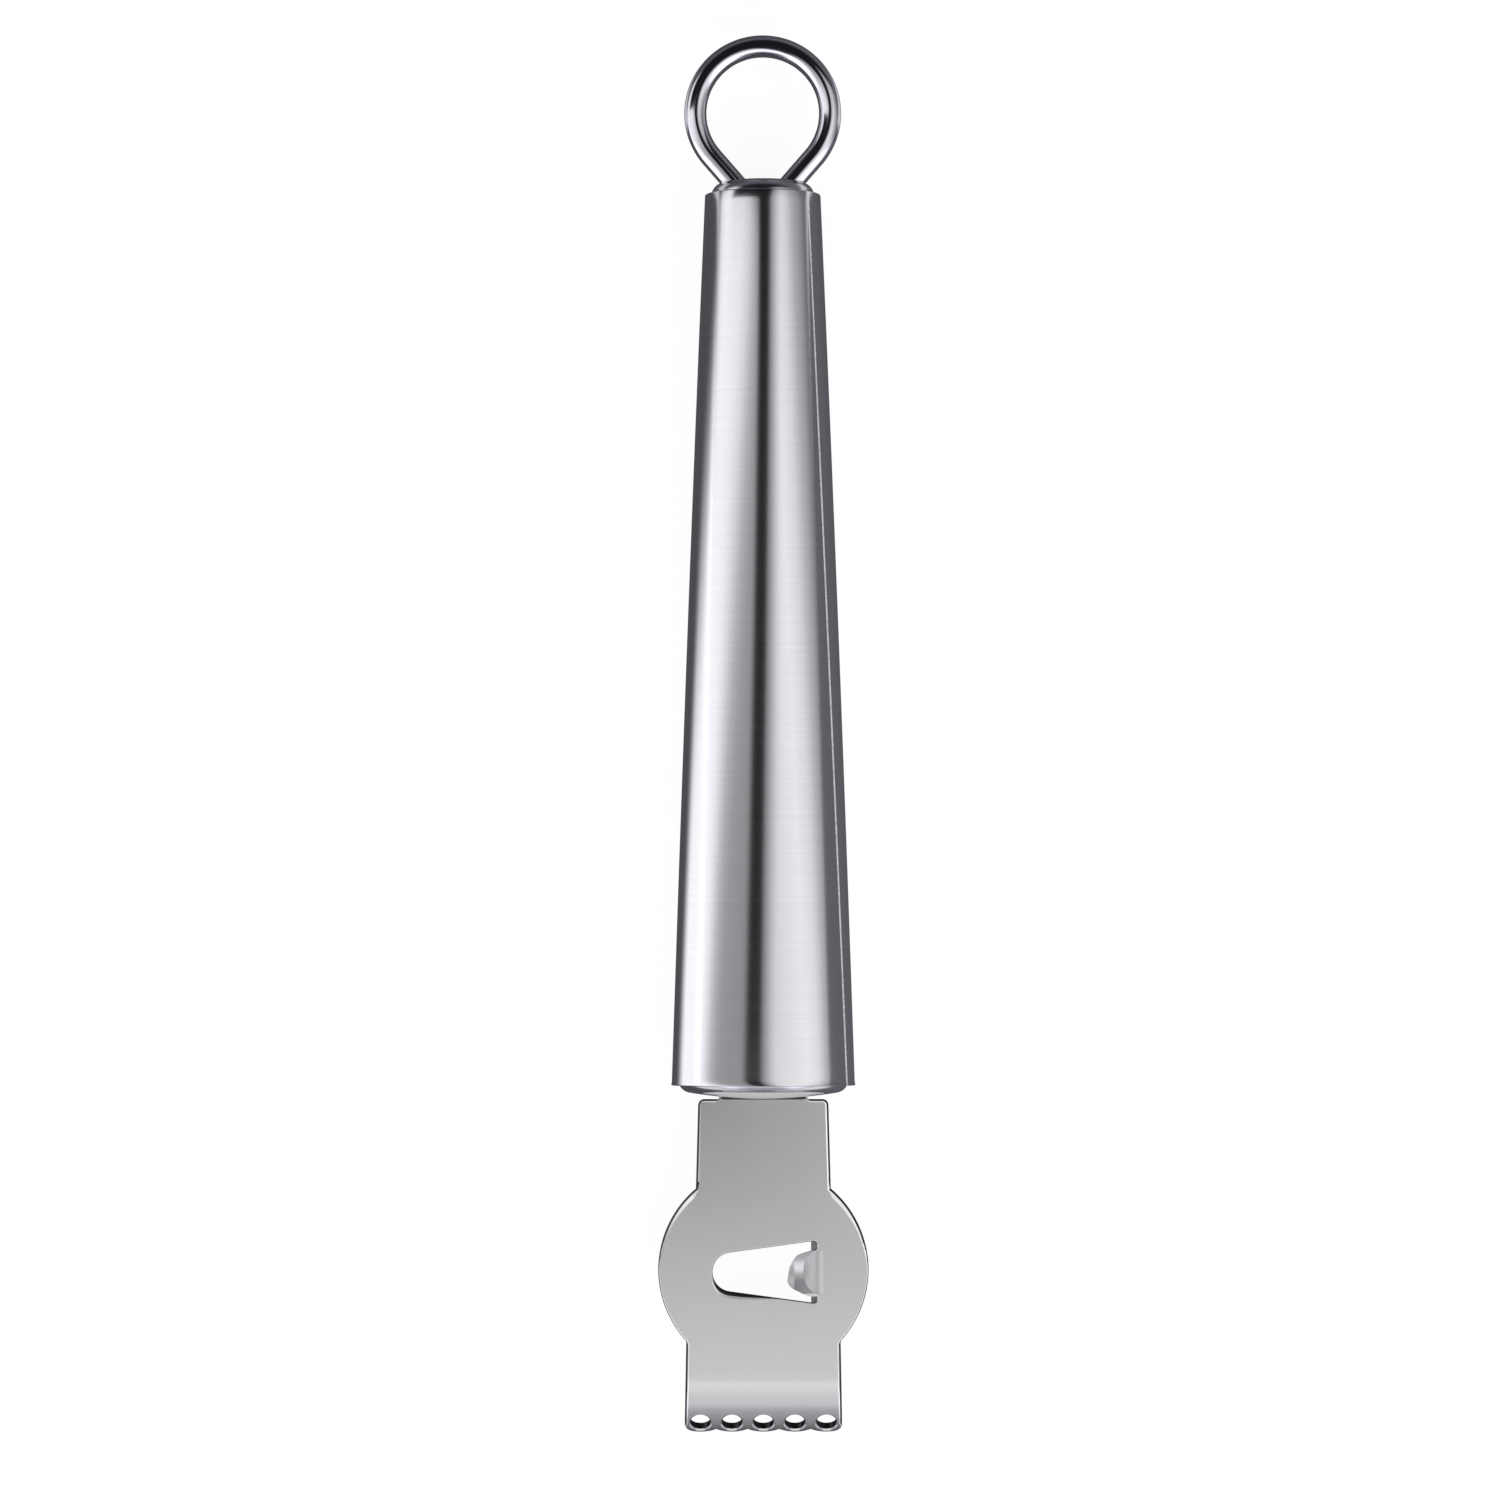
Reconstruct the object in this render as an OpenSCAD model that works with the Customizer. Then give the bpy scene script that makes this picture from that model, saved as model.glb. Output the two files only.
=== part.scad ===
// Citrus zester with a hollow tapered handle, two domed end caps, a round wire
// hanging loop and one stamped blade: five zest holes in a curled tip, and a
// channel knife pressed out of the round part.
// The tool's own axis runs along Y, blade towards -Y and loop towards +Y, with
// the blade's front face up. It lies on its handle, as it does on a table.

/* [Handle tube] */
// Length of the tube from rim to rim
handle_length = 120; // [90:1:150]
// Outer diameter at the wide rim, next to the blade
wide_d = 24.6; // [21:0.1:30]
// Outer diameter at the narrow rim, next to the hanging loop
narrow_d = 15.6; // [14.6:0.1:20]
// Thickness of the tube's sheet
tube_wall = 0.8; // [0.6:0.05:1.1]
// Size of the small bevel on both rims
rim_ease = 0.15; // [0.05:0.05:0.4]

/* [End caps] */
// Height of the blade end cap's crown above the wide rim
blade_cap_rise = 1.8; // [1.5:0.1:3]
// Height of the ring end cap's crown above the narrow rim
ring_cap_rise = 2; // [1.6:0.1:3]
// Radius of the rounded shoulder of both caps
cap_shoulder_r = 1.2; // [0.9:0.1:1.5]
// Radius of the blade end cap's shallow crown
blade_crown_r = 120; // [80:5:200]
// Radius of the ring end cap's shallow crown
ring_crown_r = 40; // [30:1:80]
// Thickness of the caps' sheet
cap_wall = 0.8; // [0.5:0.05:0.85]
// How deep the skirts reach into the tube
skirt_depth = 6; // [3:0.5:10]
// Gap all round between a skirt and the tube
cap_fit = 0.05; // [0.02:0.01:0.1]

/* [Hanging loop] */
// Diameter of the loop's round wire
wire_d = 3; // [2:0.1:3.2]
// Diameter of the ring, measured at the wire's centre
ring_d = 18.2; // [17:0.1:24]
// Height of the ring's centre above the ring end cap's crown
ring_stand = 9.1; // [8.8:0.1:11]
// Distance between the centres of the two slanting legs, level with the cap's crown
leg_spacing = 8.3; // [7.8:0.1:9]
// Length of each leg past the crown of the cap
leg_reach = 2.9; // [2.6:0.1:3.2]
// Gap all round between a leg and its hole
leg_fit = 0.05; // [0.02:0.01:0.1]

/* [Blade sheet] */
// Thickness of the blade's sheet
sheet = 1.2; // [0.9:0.05:1.6]
// Width of the stem at its shoulders
stem_top_w = 17.5; // [15:0.1:18]
// Width of the stem where it meets the disc
stem_base_w = 18.1; // [16:0.1:19]
// Radius of the stem's two shoulder corners
stem_corner_r = 0.8; // [0.4:0.1:1.5]
// Diameter of the disc
disc_d = 28.2; // [26:0.1:32]
// Distance from the shoulders to the disc's centre
disc_reach = 22.8; // [20:0.1:26]
// Width of the blade just below the disc
lower_w = 20.7; // [20.4:0.1:22]
// Width of the blade at its tip
tip_w = 21.2; // [20.4:0.1:22.4]
// Distance from the shoulders to where the tip starts to curl
curl_reach = 37.3; // [36:0.1:42]
// Radius of the curl, on the front face
curl_r = 9.4; // [8:0.1:12]
// Angle that the tip turns through
curl_angle = 53; // [45:1:70]
// Gap between the stem's shoulders and the cap's crown
shoulder_fit = 0.05; // [0.02:0.01:0.2]
// Width of the tang inside the handle
tang_w = 12; // [8:0.5:14]
// Length of the tang behind the shoulders
tang_length = 10; // [5:0.5:20]
// Gap all round between the tang and the cap's slot
tang_fit = 0.05; // [0.02:0.01:0.1]

/* [Blade edges] */
// Bevel along the front edges of the stem and of the sides below the disc
edge_ease = 0.22; // [0.1:0.02:0.3]
// Width of the disc's bevel level with its centre
disc_bevel_side = 0.2; // [0.1:0.05:0.3]
// Extra width of the disc's bevel towards the stem
disc_bevel_top = 0.85; // [0.4:0.05:1]
// Angle between the disc's bevel and the front face
disc_bevel_angle = 30; // [20:1:35]

/* [Zest holes] */
// Number of zest holes in a row
hole_count = 5; // [3:2:5]
// Diameter of a zest hole
hole_d = 2.75; // [2:0.05:3]
// Distance between the centres of neighbouring zest holes
hole_pitch = 4.23; // [4:0.01:4.3]
// Metal left between a zest hole and the end of the tip
hole_land = 0.55; // [0.4:0.05:1]
// Size of the bevel on a zest hole's front rim
hole_ease = 0.2; // [0.1:0.05:0.3]
// Depth of the notches between the lobes of the tip's end
notch_depth = 0.6; // [0.3:0.05:0.8]

/* [Channel knife] */
// Distance of the opening's middle line below the disc's centre
opening_drop = 0.35; // [0:0.05:1]
// Distance from the disc's centre to the middle of the opening's round end
opening_back = 4.2; // [3:0.1:5]
// Radius of the opening's round end
opening_r = 2.63; // [2:0.05:3]
// Angle between each long side of the opening and its middle line
opening_flare = 7.8; // [5:0.1:9]
// Distance from the disc's centre to the middle of the two relief slots' ends
relief_reach = 6.45; // [6:0.05:7]
// Radius of the relief slots' round ends
relief_r = 0.6; // [0.4:0.05:0.7]
// Depth of the relief slots' round ends
relief_depth = 0.8; // [0.6:0.05:1]
// Width of the groove at the front face
groove_w = 5.8; // [5:0.1:6.2]
// Depth of the groove below the front face
groove_depth = 2.2; // [1.6:0.1:2.6]
// Thickness of the pressed lip that forms the groove
lip_t = 1; // [0.7:0.05:1.1]
// Distance from the disc's centre to the top of the ramp behind the groove
ramp_reach = 7.6; // [7.3:0.1:8]
// Slope of the ramp
ramp_angle = 45; // [35:1:55]
// How far the cutting lip stands out from the relief slots' ends
lip_length = 3.2; // [2.6:0.1:3.4]
// Length of the bevel inside the cutting lip
lip_bevel = 0.9; // [0.5:0.1:1.2]
// Depth of that bevel at the lip's nose
lip_bevel_depth = 0.8; // [0.5:0.05:0.9]

/* [Hidden] */
$fn = 96;
// Overlap that lets one cut run past a face
over = 0.5;
// How far a straight side starts inside the round end that it meets
side_step = 0.04;
// Plain length left between an eased edge and a corner of the outline
ease_gap = 0.15;
// Angle by which a stretch of the curl runs past the end of the tip
over_angle = 2;
// How far before the tip's end the lobes start, as a multiple of the notches' depth
lobe_share = 2.2;
// Corners of the lip's nose, as shares of its length and of the groove's half width
nose_points = [[0.32, 0.7], [0.1, 0.28], [0, -0.5], [0.2, -0.7]];
// Segments of a shoulder's and of a crown's curve
shoulder_steps = 8;
crown_steps = 5;

// Outer radius of the tube at a distance y from the wide rim
function tube_r(y) = wide_d / 2 + (narrow_d - wide_d) / 2 * y / handle_length;
// Points of an arc about a centre c, from angle a to angle b
function arc(c, r, a, b, steps) =
    [for (i = [0:steps]) c + r * [cos(a + (b - a) * i / steps), sin(a + (b - a) * i / steps)]];

// The caps
blade_cap_r = tube_r(0) - tube_wall - cap_fit;
ring_cap_r = tube_r(handle_length) - tube_wall - cap_fit;
skirt_end_r = tube_r(skirt_depth) - tube_wall - cap_fit;

// The loop
ring_r = ring_d / 2;
ring_centre = handle_length + ring_cap_rise + ring_stand;
crown_point = [leg_spacing / 2, -ring_stand];
leg_angle = atan2(ring_stand, crown_point[0]) - acos(ring_r / norm(crown_point));
leg_length = sqrt(crown_point * crown_point - ring_r * ring_r) + leg_reach;

// The blade, measured from its shoulders
blade_seat = blade_cap_rise + shoulder_fit;
front = sheet / 2;
hole_angle = curl_angle - (hole_land + hole_d / 2) / curl_r * 180 / PI;
lobe_r = (hole_pitch * hole_pitch / 4 + notch_depth * notch_depth) / (2 * notch_depth);
lobe_start = curl_angle - lobe_share * notch_depth / curl_r * 180 / PI;
blade_end = curl_reach + curl_r * sin(curl_angle);
stem_length = disc_reach - sqrt(disc_d * disc_d - stem_base_w * stem_base_w) / 2;
stem_slope = (stem_base_w - stem_top_w) / 2 / (stem_length - stem_corner_r);
stem_inner_w = stem_base_w + 2 * stem_slope * (disc_reach - stem_length);
lower_start = disc_reach + sqrt(disc_d * disc_d - lower_w * lower_w) / 2;

// The channel knife, measured from the disc's centre
groove_r = (groove_w * groove_w / 4 + groove_depth * groove_depth) / (2 * groove_depth);
groove_axis = front - groove_depth + groove_r;
lip_nose = relief_reach - lip_length;
relief_offset = opening_r / cos(opening_flare)
    + (relief_reach + opening_back) * tan(opening_flare) - relief_r / cos(opening_flare);

// The pose on the table
rest_tilt = atan((wide_d - narrow_d) / 2 / handle_length);
axis_height = wide_d / 2 * cos(rest_tilt);
top_end = (ring_centre + ring_r) * cos(rest_tilt) + wire_d / 2;
curl_drop = front - curl_r * (1 - cos(curl_angle));
tip_end = -(blade_seat + blade_end) * cos(rest_tilt) + curl_drop * sin(rest_tilt);

// Lays the tool on its handle, over the middle of its own footprint
module lying() {
    translate([0, -(top_end + tip_end) / 2, axis_height])
        rotate([-rest_tilt, 0, 0])
            children();
}

// Turns a shape made along Z so that it runs along the tool's axis
module along_axis() {
    rotate([-90, 0, 0])
        children();
}

module handle_tube() {
    wide_rim = [[wide_d / 2 - tube_wall, 0], [wide_d / 2 - rim_ease, 0], [tube_r(rim_ease), rim_ease]];
    narrow_end = handle_length - rim_ease;
    narrow_rim = [
        [tube_r(narrow_end), narrow_end], [narrow_d / 2 - rim_ease, handle_length],
        [narrow_d / 2 - tube_wall, handle_length]];
    color("silver")
        lying()
            along_axis()
                rotate_extrude()
                    polygon(concat(wide_rim, narrow_rim));
}

// Half section of a cap whose outside has the radius r and rises to height rise.
// Its skirt narrows to end_r at its lower end.
module cap_section(r, rise, crown_r, end_r) {
    shoulder_x = r - cap_shoulder_r;
    shoulder_y = rise - crown_r + sqrt(pow(crown_r - cap_shoulder_r, 2) - shoulder_x * shoulder_x);
    turn = acos(shoulder_x / (crown_r - cap_shoulder_r));
    centre = [shoulder_x, shoulder_y];
    outer = concat(
        arc(centre, cap_shoulder_r, 0, turn, shoulder_steps),
        arc([0, rise - crown_r], crown_r, turn, 90, crown_steps));
    inner = concat(
        arc([0, rise - crown_r], crown_r - cap_wall, 90, turn, crown_steps),
        arc(centre, cap_shoulder_r - cap_wall, turn, 0, shoulder_steps));
    skirt = [[end_r - cap_wall, -skirt_depth], [end_r, -skirt_depth]];
    polygon(concat(outer, inner, skirt));
}

module blade_end_cap() {
    color("gainsboro")
        lying()
            difference() {
                rotate([90, 0, 0])
                    rotate_extrude()
                        cap_section(blade_cap_r, blade_cap_rise, blade_crown_r, skirt_end_r);
                translate([0, -blade_cap_rise, 0])
                    cube([tang_w + 2 * tang_fit, 4 * blade_cap_rise, sheet + 2 * tang_fit], center = true);
            }
}

// The half of space where y is negative
module lower_half() {
    size = 4 * ring_r;
    translate([0, -size / 2, 0])
        cube(size, center = true);
}

// The right leg, which leaves the ring at a tangent, at a wire thickness of d
module loop_leg(d) {
    rotate([0, 0, -leg_angle])
        translate([ring_r, 0, 0])
            rotate([90, 0, 0])
                cylinder(h = leg_length, d = d);
}

// The loop's bent wire about the ring's centre
module loop_wire() {
    difference() {
        rotate_extrude()
            translate([ring_r, 0])
                circle(d = wire_d);
        intersection() {
            rotate([0, 0, -leg_angle])
                lower_half();
            rotate([0, 0, leg_angle])
                lower_half();
        }
    }
    loop_leg(wire_d);
    mirror([1, 0, 0])
        loop_leg(wire_d);
}

module hanging_loop() {
    color("gainsboro")
        lying()
            translate([0, ring_centre, 0])
                loop_wire();
}

module ring_end_cap() {
    color("gainsboro")
        lying()
            difference() {
                translate([0, handle_length, 0])
                    along_axis()
                        rotate_extrude()
                            cap_section(ring_cap_r, ring_cap_rise, ring_crown_r, ring_cap_r);
                for (side = [0, 1])
                    mirror([side, 0, 0])
                        translate([0, ring_centre, 0])
                            loop_leg(wire_d + 2 * leg_fit);
            }
}

// Puts a shape on the curl: +X points out of the front face at this angle,
// +Y runs round the curl to the tip and +Z across the blade
module in_curl(angle) {
    translate([0, -curl_reach, front - curl_r])
        rotate([0, -90, 180])
            rotate([0, 0, angle])
                children();
}

// A stretch of curled sheet of the width w
module curled_sheet(from, to, w) {
    in_curl(from)
        rotate_extrude(angle = to - from)
            translate([curl_r - sheet, -w / 2])
                square([sheet, w]);
}

// The lobes that end the tip, one under each zest hole
module end_lobes() {
    for (i = [0:hole_count - 1])
        in_curl(curl_angle)
            translate([curl_r - sheet - over, -lobe_r, (i - (hole_count - 1) / 2) * hole_pitch])
                rotate([0, 90, 0])
                    cylinder(h = sheet + 2 * over, r = lobe_r);
}

// The bent sheet before its sides are cut to shape
module sheet_form() {
    wide = disc_d + 2 * over;
    translate([-wide / 2, -curl_reach, -front])
        cube([wide, curl_reach + tang_length, sheet]);
    curled_sheet(0, lobe_start, wide);
    intersection() {
        curled_sheet(lobe_start, curl_angle + over_angle, wide);
        end_lobes();
    }
}

// The blade's outline seen from the front
module outline() {
    corner = [stem_top_w / 2 - stem_corner_r, -stem_corner_r];
    right_corner = arc(corner, stem_corner_r, 0, 90, shoulder_steps);
    left_corner = arc([-corner[0], corner[1]], stem_corner_r, 90, 180, shoulder_steps);
    polygon(concat(
        right_corner,
        left_corner,
        [[-stem_inner_w / 2, -disc_reach], [stem_inner_w / 2, -disc_reach]]));
    translate([0, -disc_reach])
        circle(d = disc_d);
    polygon([
        [-lower_w / 2, -disc_reach], [-tip_w / 2, -blade_end - over],
        [tip_w / 2, -blade_end - over], [lower_w / 2, -disc_reach]]);
    translate([-tang_w / 2, -stem_corner_r])
        square([tang_w, tang_length + stem_corner_r]);
}

// A bevel cut on the front edge between two points of the outline
module ease_edge(p, q) {
    run = q - p;
    side = edge_ease * sqrt(2);
    translate([p[0], p[1], front])
        rotate([0, 0, atan2(run[1], run[0])])
            rotate([45, 0, 0])
                translate([0, -side / 2, -side / 2])
                    cube([norm(run), side, side]);
}

// The bevel cuts on the front edges on the side where x is positive
module side_eases() {
    corner_x = stem_top_w / 2;
    ease_edge(
        [corner_x, -stem_corner_r] + ease_gap * [stem_slope, -1],
        [stem_base_w / 2, -stem_length] - ease_gap * [stem_slope, -1]);
    ease_edge([tang_w / 2 + ease_gap, 0], [corner_x - stem_corner_r - ease_gap, 0]);
    ease_edge([lower_w / 2, -lower_start], [tip_w / 2, -curl_reach]);
    in_curl(0)
        rotate_extrude(angle = curl_angle + over_angle)
            translate([curl_r, tip_w / 2])
                rotate(45)
                    square(edge_ease * sqrt(2), center = true);
}

// The disc's bevel cut, widest towards the stem, on the side where x is positive
module disc_bevel() {
    depth = (disc_bevel_side + disc_bevel_top) * tan(disc_bevel_angle) + ease_gap;
    face_r = disc_d / 2 - disc_bevel_side;
    spread = 1 / tan(disc_bevel_angle);
    difference() {
        translate([stem_base_w / 2 + ease_gap, 0, front - depth])
            cube([disc_d / 2, disc_d / 2, depth + over]);
        translate([0, -disc_bevel_top, front - depth - over])
            cylinder(
                h = depth + 3 * over,
                r1 = face_r + (depth + over) * spread,
                r2 = face_r - 2 * over * spread);
    }
}

module zest_hole(x) {
    in_curl(hole_angle)
        translate([0, 0, x])
            rotate([0, 90, 0]) {
                translate([0, 0, curl_r - sheet - over])
                    cylinder(h = sheet + 2 * over, d = hole_d);
                translate([0, 0, curl_r - hole_ease])
                    cylinder(h = 2 * hole_ease, r1 = hole_d / 2, r2 = hole_d / 2 + 2 * hole_ease);
            }
}

// The opening in the disc, a slot that widens towards its two relief slots
module opening() {
    side_y = opening_r - side_step;
    relief_y = relief_offset + relief_r - side_step;
    translate([0, 0, -front - over])
        linear_extrude(sheet + 2 * over) {
            translate([-opening_back, 0])
                circle(r = opening_r);
            polygon([
                [-opening_back, side_y], [relief_reach, relief_y],
                [relief_reach, -relief_y], [-opening_back, -side_y]]);
            for (y = [-relief_offset, relief_offset])
                translate([relief_reach, y])
                    circle(r = relief_r);
        }
}

// Everything on the front side of the ramp, or of a plane that lies a depth below it
module above_ramp(depth) {
    translate([ramp_reach, 0, front])
        rotate([0, -ramp_angle, 0])
            translate([-2 * disc_d, -disc_d, -depth])
                cube([4 * disc_d, 2 * disc_d, disc_d]);
}

// A round bar along the groove, which starts at a distance from the disc's centre
module groove_bar(from, r) {
    translate([from, 0, groove_axis])
        rotate([0, 90, 0])
            cylinder(h = ramp_reach + 2 * over - from, r = r);
}

// The lip's outline seen from the front: its nose leans a little towards the tip
module lip_outline() {
    half = groove_w / 2;
    root_x = relief_reach + relief_r;
    root_y = relief_offset + relief_r;
    polygon(concat(
        [[ramp_reach + 2 * over, root_y], [root_x, root_y], [root_x, half], [relief_reach, half]],
        [for (point = nose_points) [lip_nose + lip_length * point[0], half * point[1]]],
        [[relief_reach - relief_r, -half], [root_x, -half], [root_x, -root_y],
            [ramp_reach + 2 * over, -root_y]]));
}

// A block as deep as the lip that reaches up to a height z, cut to a shape
module lip_block(z) {
    bottom = groove_axis - groove_r - lip_t - over;
    translate([0, 0, bottom])
        linear_extrude(z - bottom)
            children();
}

// The pressed lip before its groove is taken out, with a bevel inside its nose
module lip_body() {
    root_y = relief_offset + relief_r;
    difference() {
        intersection() {
            groove_bar(lip_nose - over, groove_r + lip_t);
            above_ramp(lip_t);
            union() {
                lip_block(front)
                    lip_outline();
                lip_block(front - relief_depth)
                    translate([relief_reach, -root_y])
                        square([2 * relief_r, 2 * root_y]);
            }
        }
        translate([lip_nose - over, 0, groove_axis])
            rotate([0, 90, 0])
                cylinder(
                    h = lip_bevel + over,
                    r1 = groove_r + (lip_bevel + over) * lip_bevel_depth / lip_bevel,
                    r2 = groove_r);
    }
}

// The air of the groove: a round trough that ends in the ramp
module groove() {
    intersection() {
        groove_bar(lip_nose - over, groove_r);
        above_ramp(0);
    }
}

// The blade before its channel knife is pressed
module flat_blade() {
    difference() {
        intersection() {
            sheet_form();
            translate([0, 0, -curl_r])
                linear_extrude(curl_r + sheet)
                    outline();
        }
        for (i = [0:hole_count - 1])
            zest_hole((i - (hole_count - 1) / 2) * hole_pitch);
        translate([0, -disc_reach - opening_drop, 0])
            opening();
        for (side = [0, 1])
            mirror([side, 0, 0])
                translate([0, -disc_reach, 0])
                    disc_bevel();
        for (side = [0, 1])
            mirror([side, 0, 0])
                side_eases();
    }
}

module zester_blade() {
    color("darkgray")
        lying()
            translate([0, -blade_seat, 0])
                difference() {
                    union() {
                        flat_blade();
                        translate([0, -disc_reach - opening_drop, 0])
                            lip_body();
                    }
                    translate([0, -disc_reach - opening_drop, 0])
                        groove();
                }
}

handle_tube();
blade_end_cap();
ring_end_cap();
hanging_loop();
zester_blade();
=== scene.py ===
"""Citrus zester: a brushed hollow handle, polished end caps and wire loop, and a satin
stamped blade, lying on a pale studio floor under soft light."""

from math import acos, asin, atan, atan2, cos, hypot, pi, radians, sin, sqrt, tan

import bmesh
import bpy
import numpy as np
from bpy.props import FloatProperty, FloatVectorProperty, IntProperty, PointerProperty
from bpy.types import Operator, Panel, PropertyGroup
from mathutils import Matrix, Vector
from mathutils.geometry import delaunay_2d_cdt


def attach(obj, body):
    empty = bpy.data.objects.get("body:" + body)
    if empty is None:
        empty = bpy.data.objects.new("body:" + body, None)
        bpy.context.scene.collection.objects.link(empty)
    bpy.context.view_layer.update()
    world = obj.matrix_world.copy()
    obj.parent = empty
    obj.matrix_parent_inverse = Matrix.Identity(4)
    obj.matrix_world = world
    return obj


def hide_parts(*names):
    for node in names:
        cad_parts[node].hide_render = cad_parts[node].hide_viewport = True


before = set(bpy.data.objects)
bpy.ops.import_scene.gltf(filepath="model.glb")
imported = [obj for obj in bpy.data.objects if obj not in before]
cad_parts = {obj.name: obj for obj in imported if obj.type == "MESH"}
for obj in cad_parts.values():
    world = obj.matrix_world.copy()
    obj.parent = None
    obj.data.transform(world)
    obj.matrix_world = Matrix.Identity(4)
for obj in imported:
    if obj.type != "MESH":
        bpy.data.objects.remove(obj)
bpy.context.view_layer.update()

bl_info = {
    "name": "Citrus zester",
    "version": (1, 0, 0),
    "blender": (4, 5, 0),
    "location": "3D View > Sidebar > Zester",
    "description": "Builds a citrus zester with a channel knife, piece by piece",
    "category": "Object",
}

MM = 1000.0  # millimetres in a metre
# The pressed finish is lightened as a painted highlight, and the last one is near-black painted
# shade
GROUND, PRESSED_HIGHLIGHT, PAINTED_SHADE = 1, 2, 3  # places of the sheet's finishes in its list
COOL = (0.96, 0.955, 1.05)  # tint of the dim room that the steel mirrors
WELD_LIFT, WELD_DULL = 0.3, 0.85  # how much paler and less like metal a weld is
RENDER_SIZE = 1500  # pixels along each side of the picture


# Sizes and finishes


def span(name, description, default):
    """A property that holds a length."""
    return FloatProperty(
        name=name, description=description, default=default, unit="LENGTH", precision=5)


def turn(name, description, degrees):
    """A property that holds an angle."""
    return FloatProperty(
        name=name, description=description, default=radians(degrees), subtype="ANGLE")


def tint(name, description, default):
    """A property that holds a colour."""
    return FloatVectorProperty(
        name=name, description=description, default=default, subtype="COLOR", size=3, min=0, max=1)


def share(name, description, default):
    """A property that holds a plain number from 0 to 1."""
    return FloatProperty(
        name=name, description=description, default=default, subtype="FACTOR", min=0, max=1)


class HandleSizes(PropertyGroup):
    length: span("Length", "Length of the tube from rim to rim", 0.12)
    wide_d: span("Wide diameter", "Outer diameter at the rim next to the blade", 0.0246)
    narrow_d: span("Narrow diameter", "Outer diameter at the rim next to the loop", 0.0156)
    bow: span("Side bow", "How far the side bows out halfway along", 0.00016)
    wall: span("Wall", "Thickness of the tube's sheet", 0.0008)
    rim_ease: span("Rim rounding", "Radius of the rounding on both rims", 0.00015)
    rim_flare: span("Rim flare", "How far the wide rim stands out", 0.00008)
    segments: IntProperty(name="Segments", description="Faces round the handle", default=256)


class CapSizes(PropertyGroup):
    blade_rise: span("Blade cap rise", "Height of the blade cap's crown above the rim", 0.0018)
    loop_rise: span("Loop cap rise", "Height of the loop cap's crown above the rim", 0.002)
    shoulder_r: span("Shoulder radius", "Radius of the caps' rounded shoulder", 0.0018)
    blade_crown_r: span("Blade crown radius", "Radius of the blade cap's crown", 0.06)
    loop_crown_r: span("Loop crown radius", "Radius of the loop cap's crown", 0.04)
    wall: span("Wall", "Thickness of the caps' sheet", 0.0008)
    skirt: span("Skirt depth", "How deep the skirts reach into the tube", 0.006)
    fit: span("Fit", "Gap all round between a skirt and the tube", 0.00005)


class LoopSizes(PropertyGroup):
    wire_d: span("Wire diameter", "Diameter of the round wire", 0.003)
    ring_d: span("Ring diameter", "Diameter of the ring at the wire's centre", 0.0182)
    stand: span("Ring stand", "Height of the ring's centre above the cap's crown", 0.0091)
    leg_spacing: span("Leg spacing", "Distance between the legs, level with the crown", 0.0083)
    leg_reach: span("Leg reach", "Length of each leg past the crown", 0.0029)
    fit: span("Fit", "Gap all round a leg in its hole", 0.00005)
    sides: IntProperty(name="Sides", description="Faces round the wire", default=48)


class BladeSizes(PropertyGroup):
    sheet: span("Sheet", "Thickness of the blade's sheet", 0.0012)
    fit: span("Fit", "Gap between the shoulders and the cap's crown", 0.00005)
    tang_w: span("Tang width", "Width of the tang inside the handle", 0.012)
    tang_length: span("Tang length", "Length of the tang behind the shoulders", 0.01)
    stem_top_w: span("Stem top width", "Width of the stem at its shoulders", 0.0175)
    stem_base_w: span("Stem base width", "Width of the stem where it meets the disc", 0.0181)
    corner_r: span("Corner radius", "Radius of the shoulders and of the tip's corners", 0.0008)
    disc_d: span("Disc diameter", "Diameter of the blade's disc", 0.0282)
    disc_reach: span("Disc reach", "Distance from the shoulders to the disc's centre", 0.0228)
    lower_w: span("Lower width", "Width of the blade just below the disc", 0.0207)
    tip_w: span("Tip width", "Width of the blade at its tip", 0.0212)
    curl_reach: span("Curl reach", "Distance from the shoulders to the curl", 0.0373)
    curl_r: span("Curl radius", "Radius of the curl on the front face", 0.0094)
    curl_angle: turn("Curl angle", "Angle that the tip turns through", 53)
    edge_ease: span("Edge rounding", "Rounding of the front edges of the stem and sides", 0.00045)
    disc_side: span("Disc bevel, side", "Width of the disc's bevel level with its centre", 0.0002)
    disc_top: span("Disc bevel, top", "Extra width of the disc's bevel at its top", 0.00085)
    disc_slope: turn("Disc bevel slope", "Angle between the disc's bevel and its face", 30)
    holes: IntProperty(name="Zest holes", description="Number of zest holes", default=5)
    hole_d: span("Hole diameter", "Diameter of a zest hole", 0.00275)
    hole_pitch: span("Hole pitch", "Distance between neighbouring zest holes", 0.00423)
    hole_land: span("Hole land", "Metal between a zest hole and the tip's end", 0.00055)
    hole_ease: span("Hole bevel", "Bevel on a zest hole's front rim", 0.0002)
    notch: span("Notch depth", "Depth of the notches between the tip's lobes", 0.0006)


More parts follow.
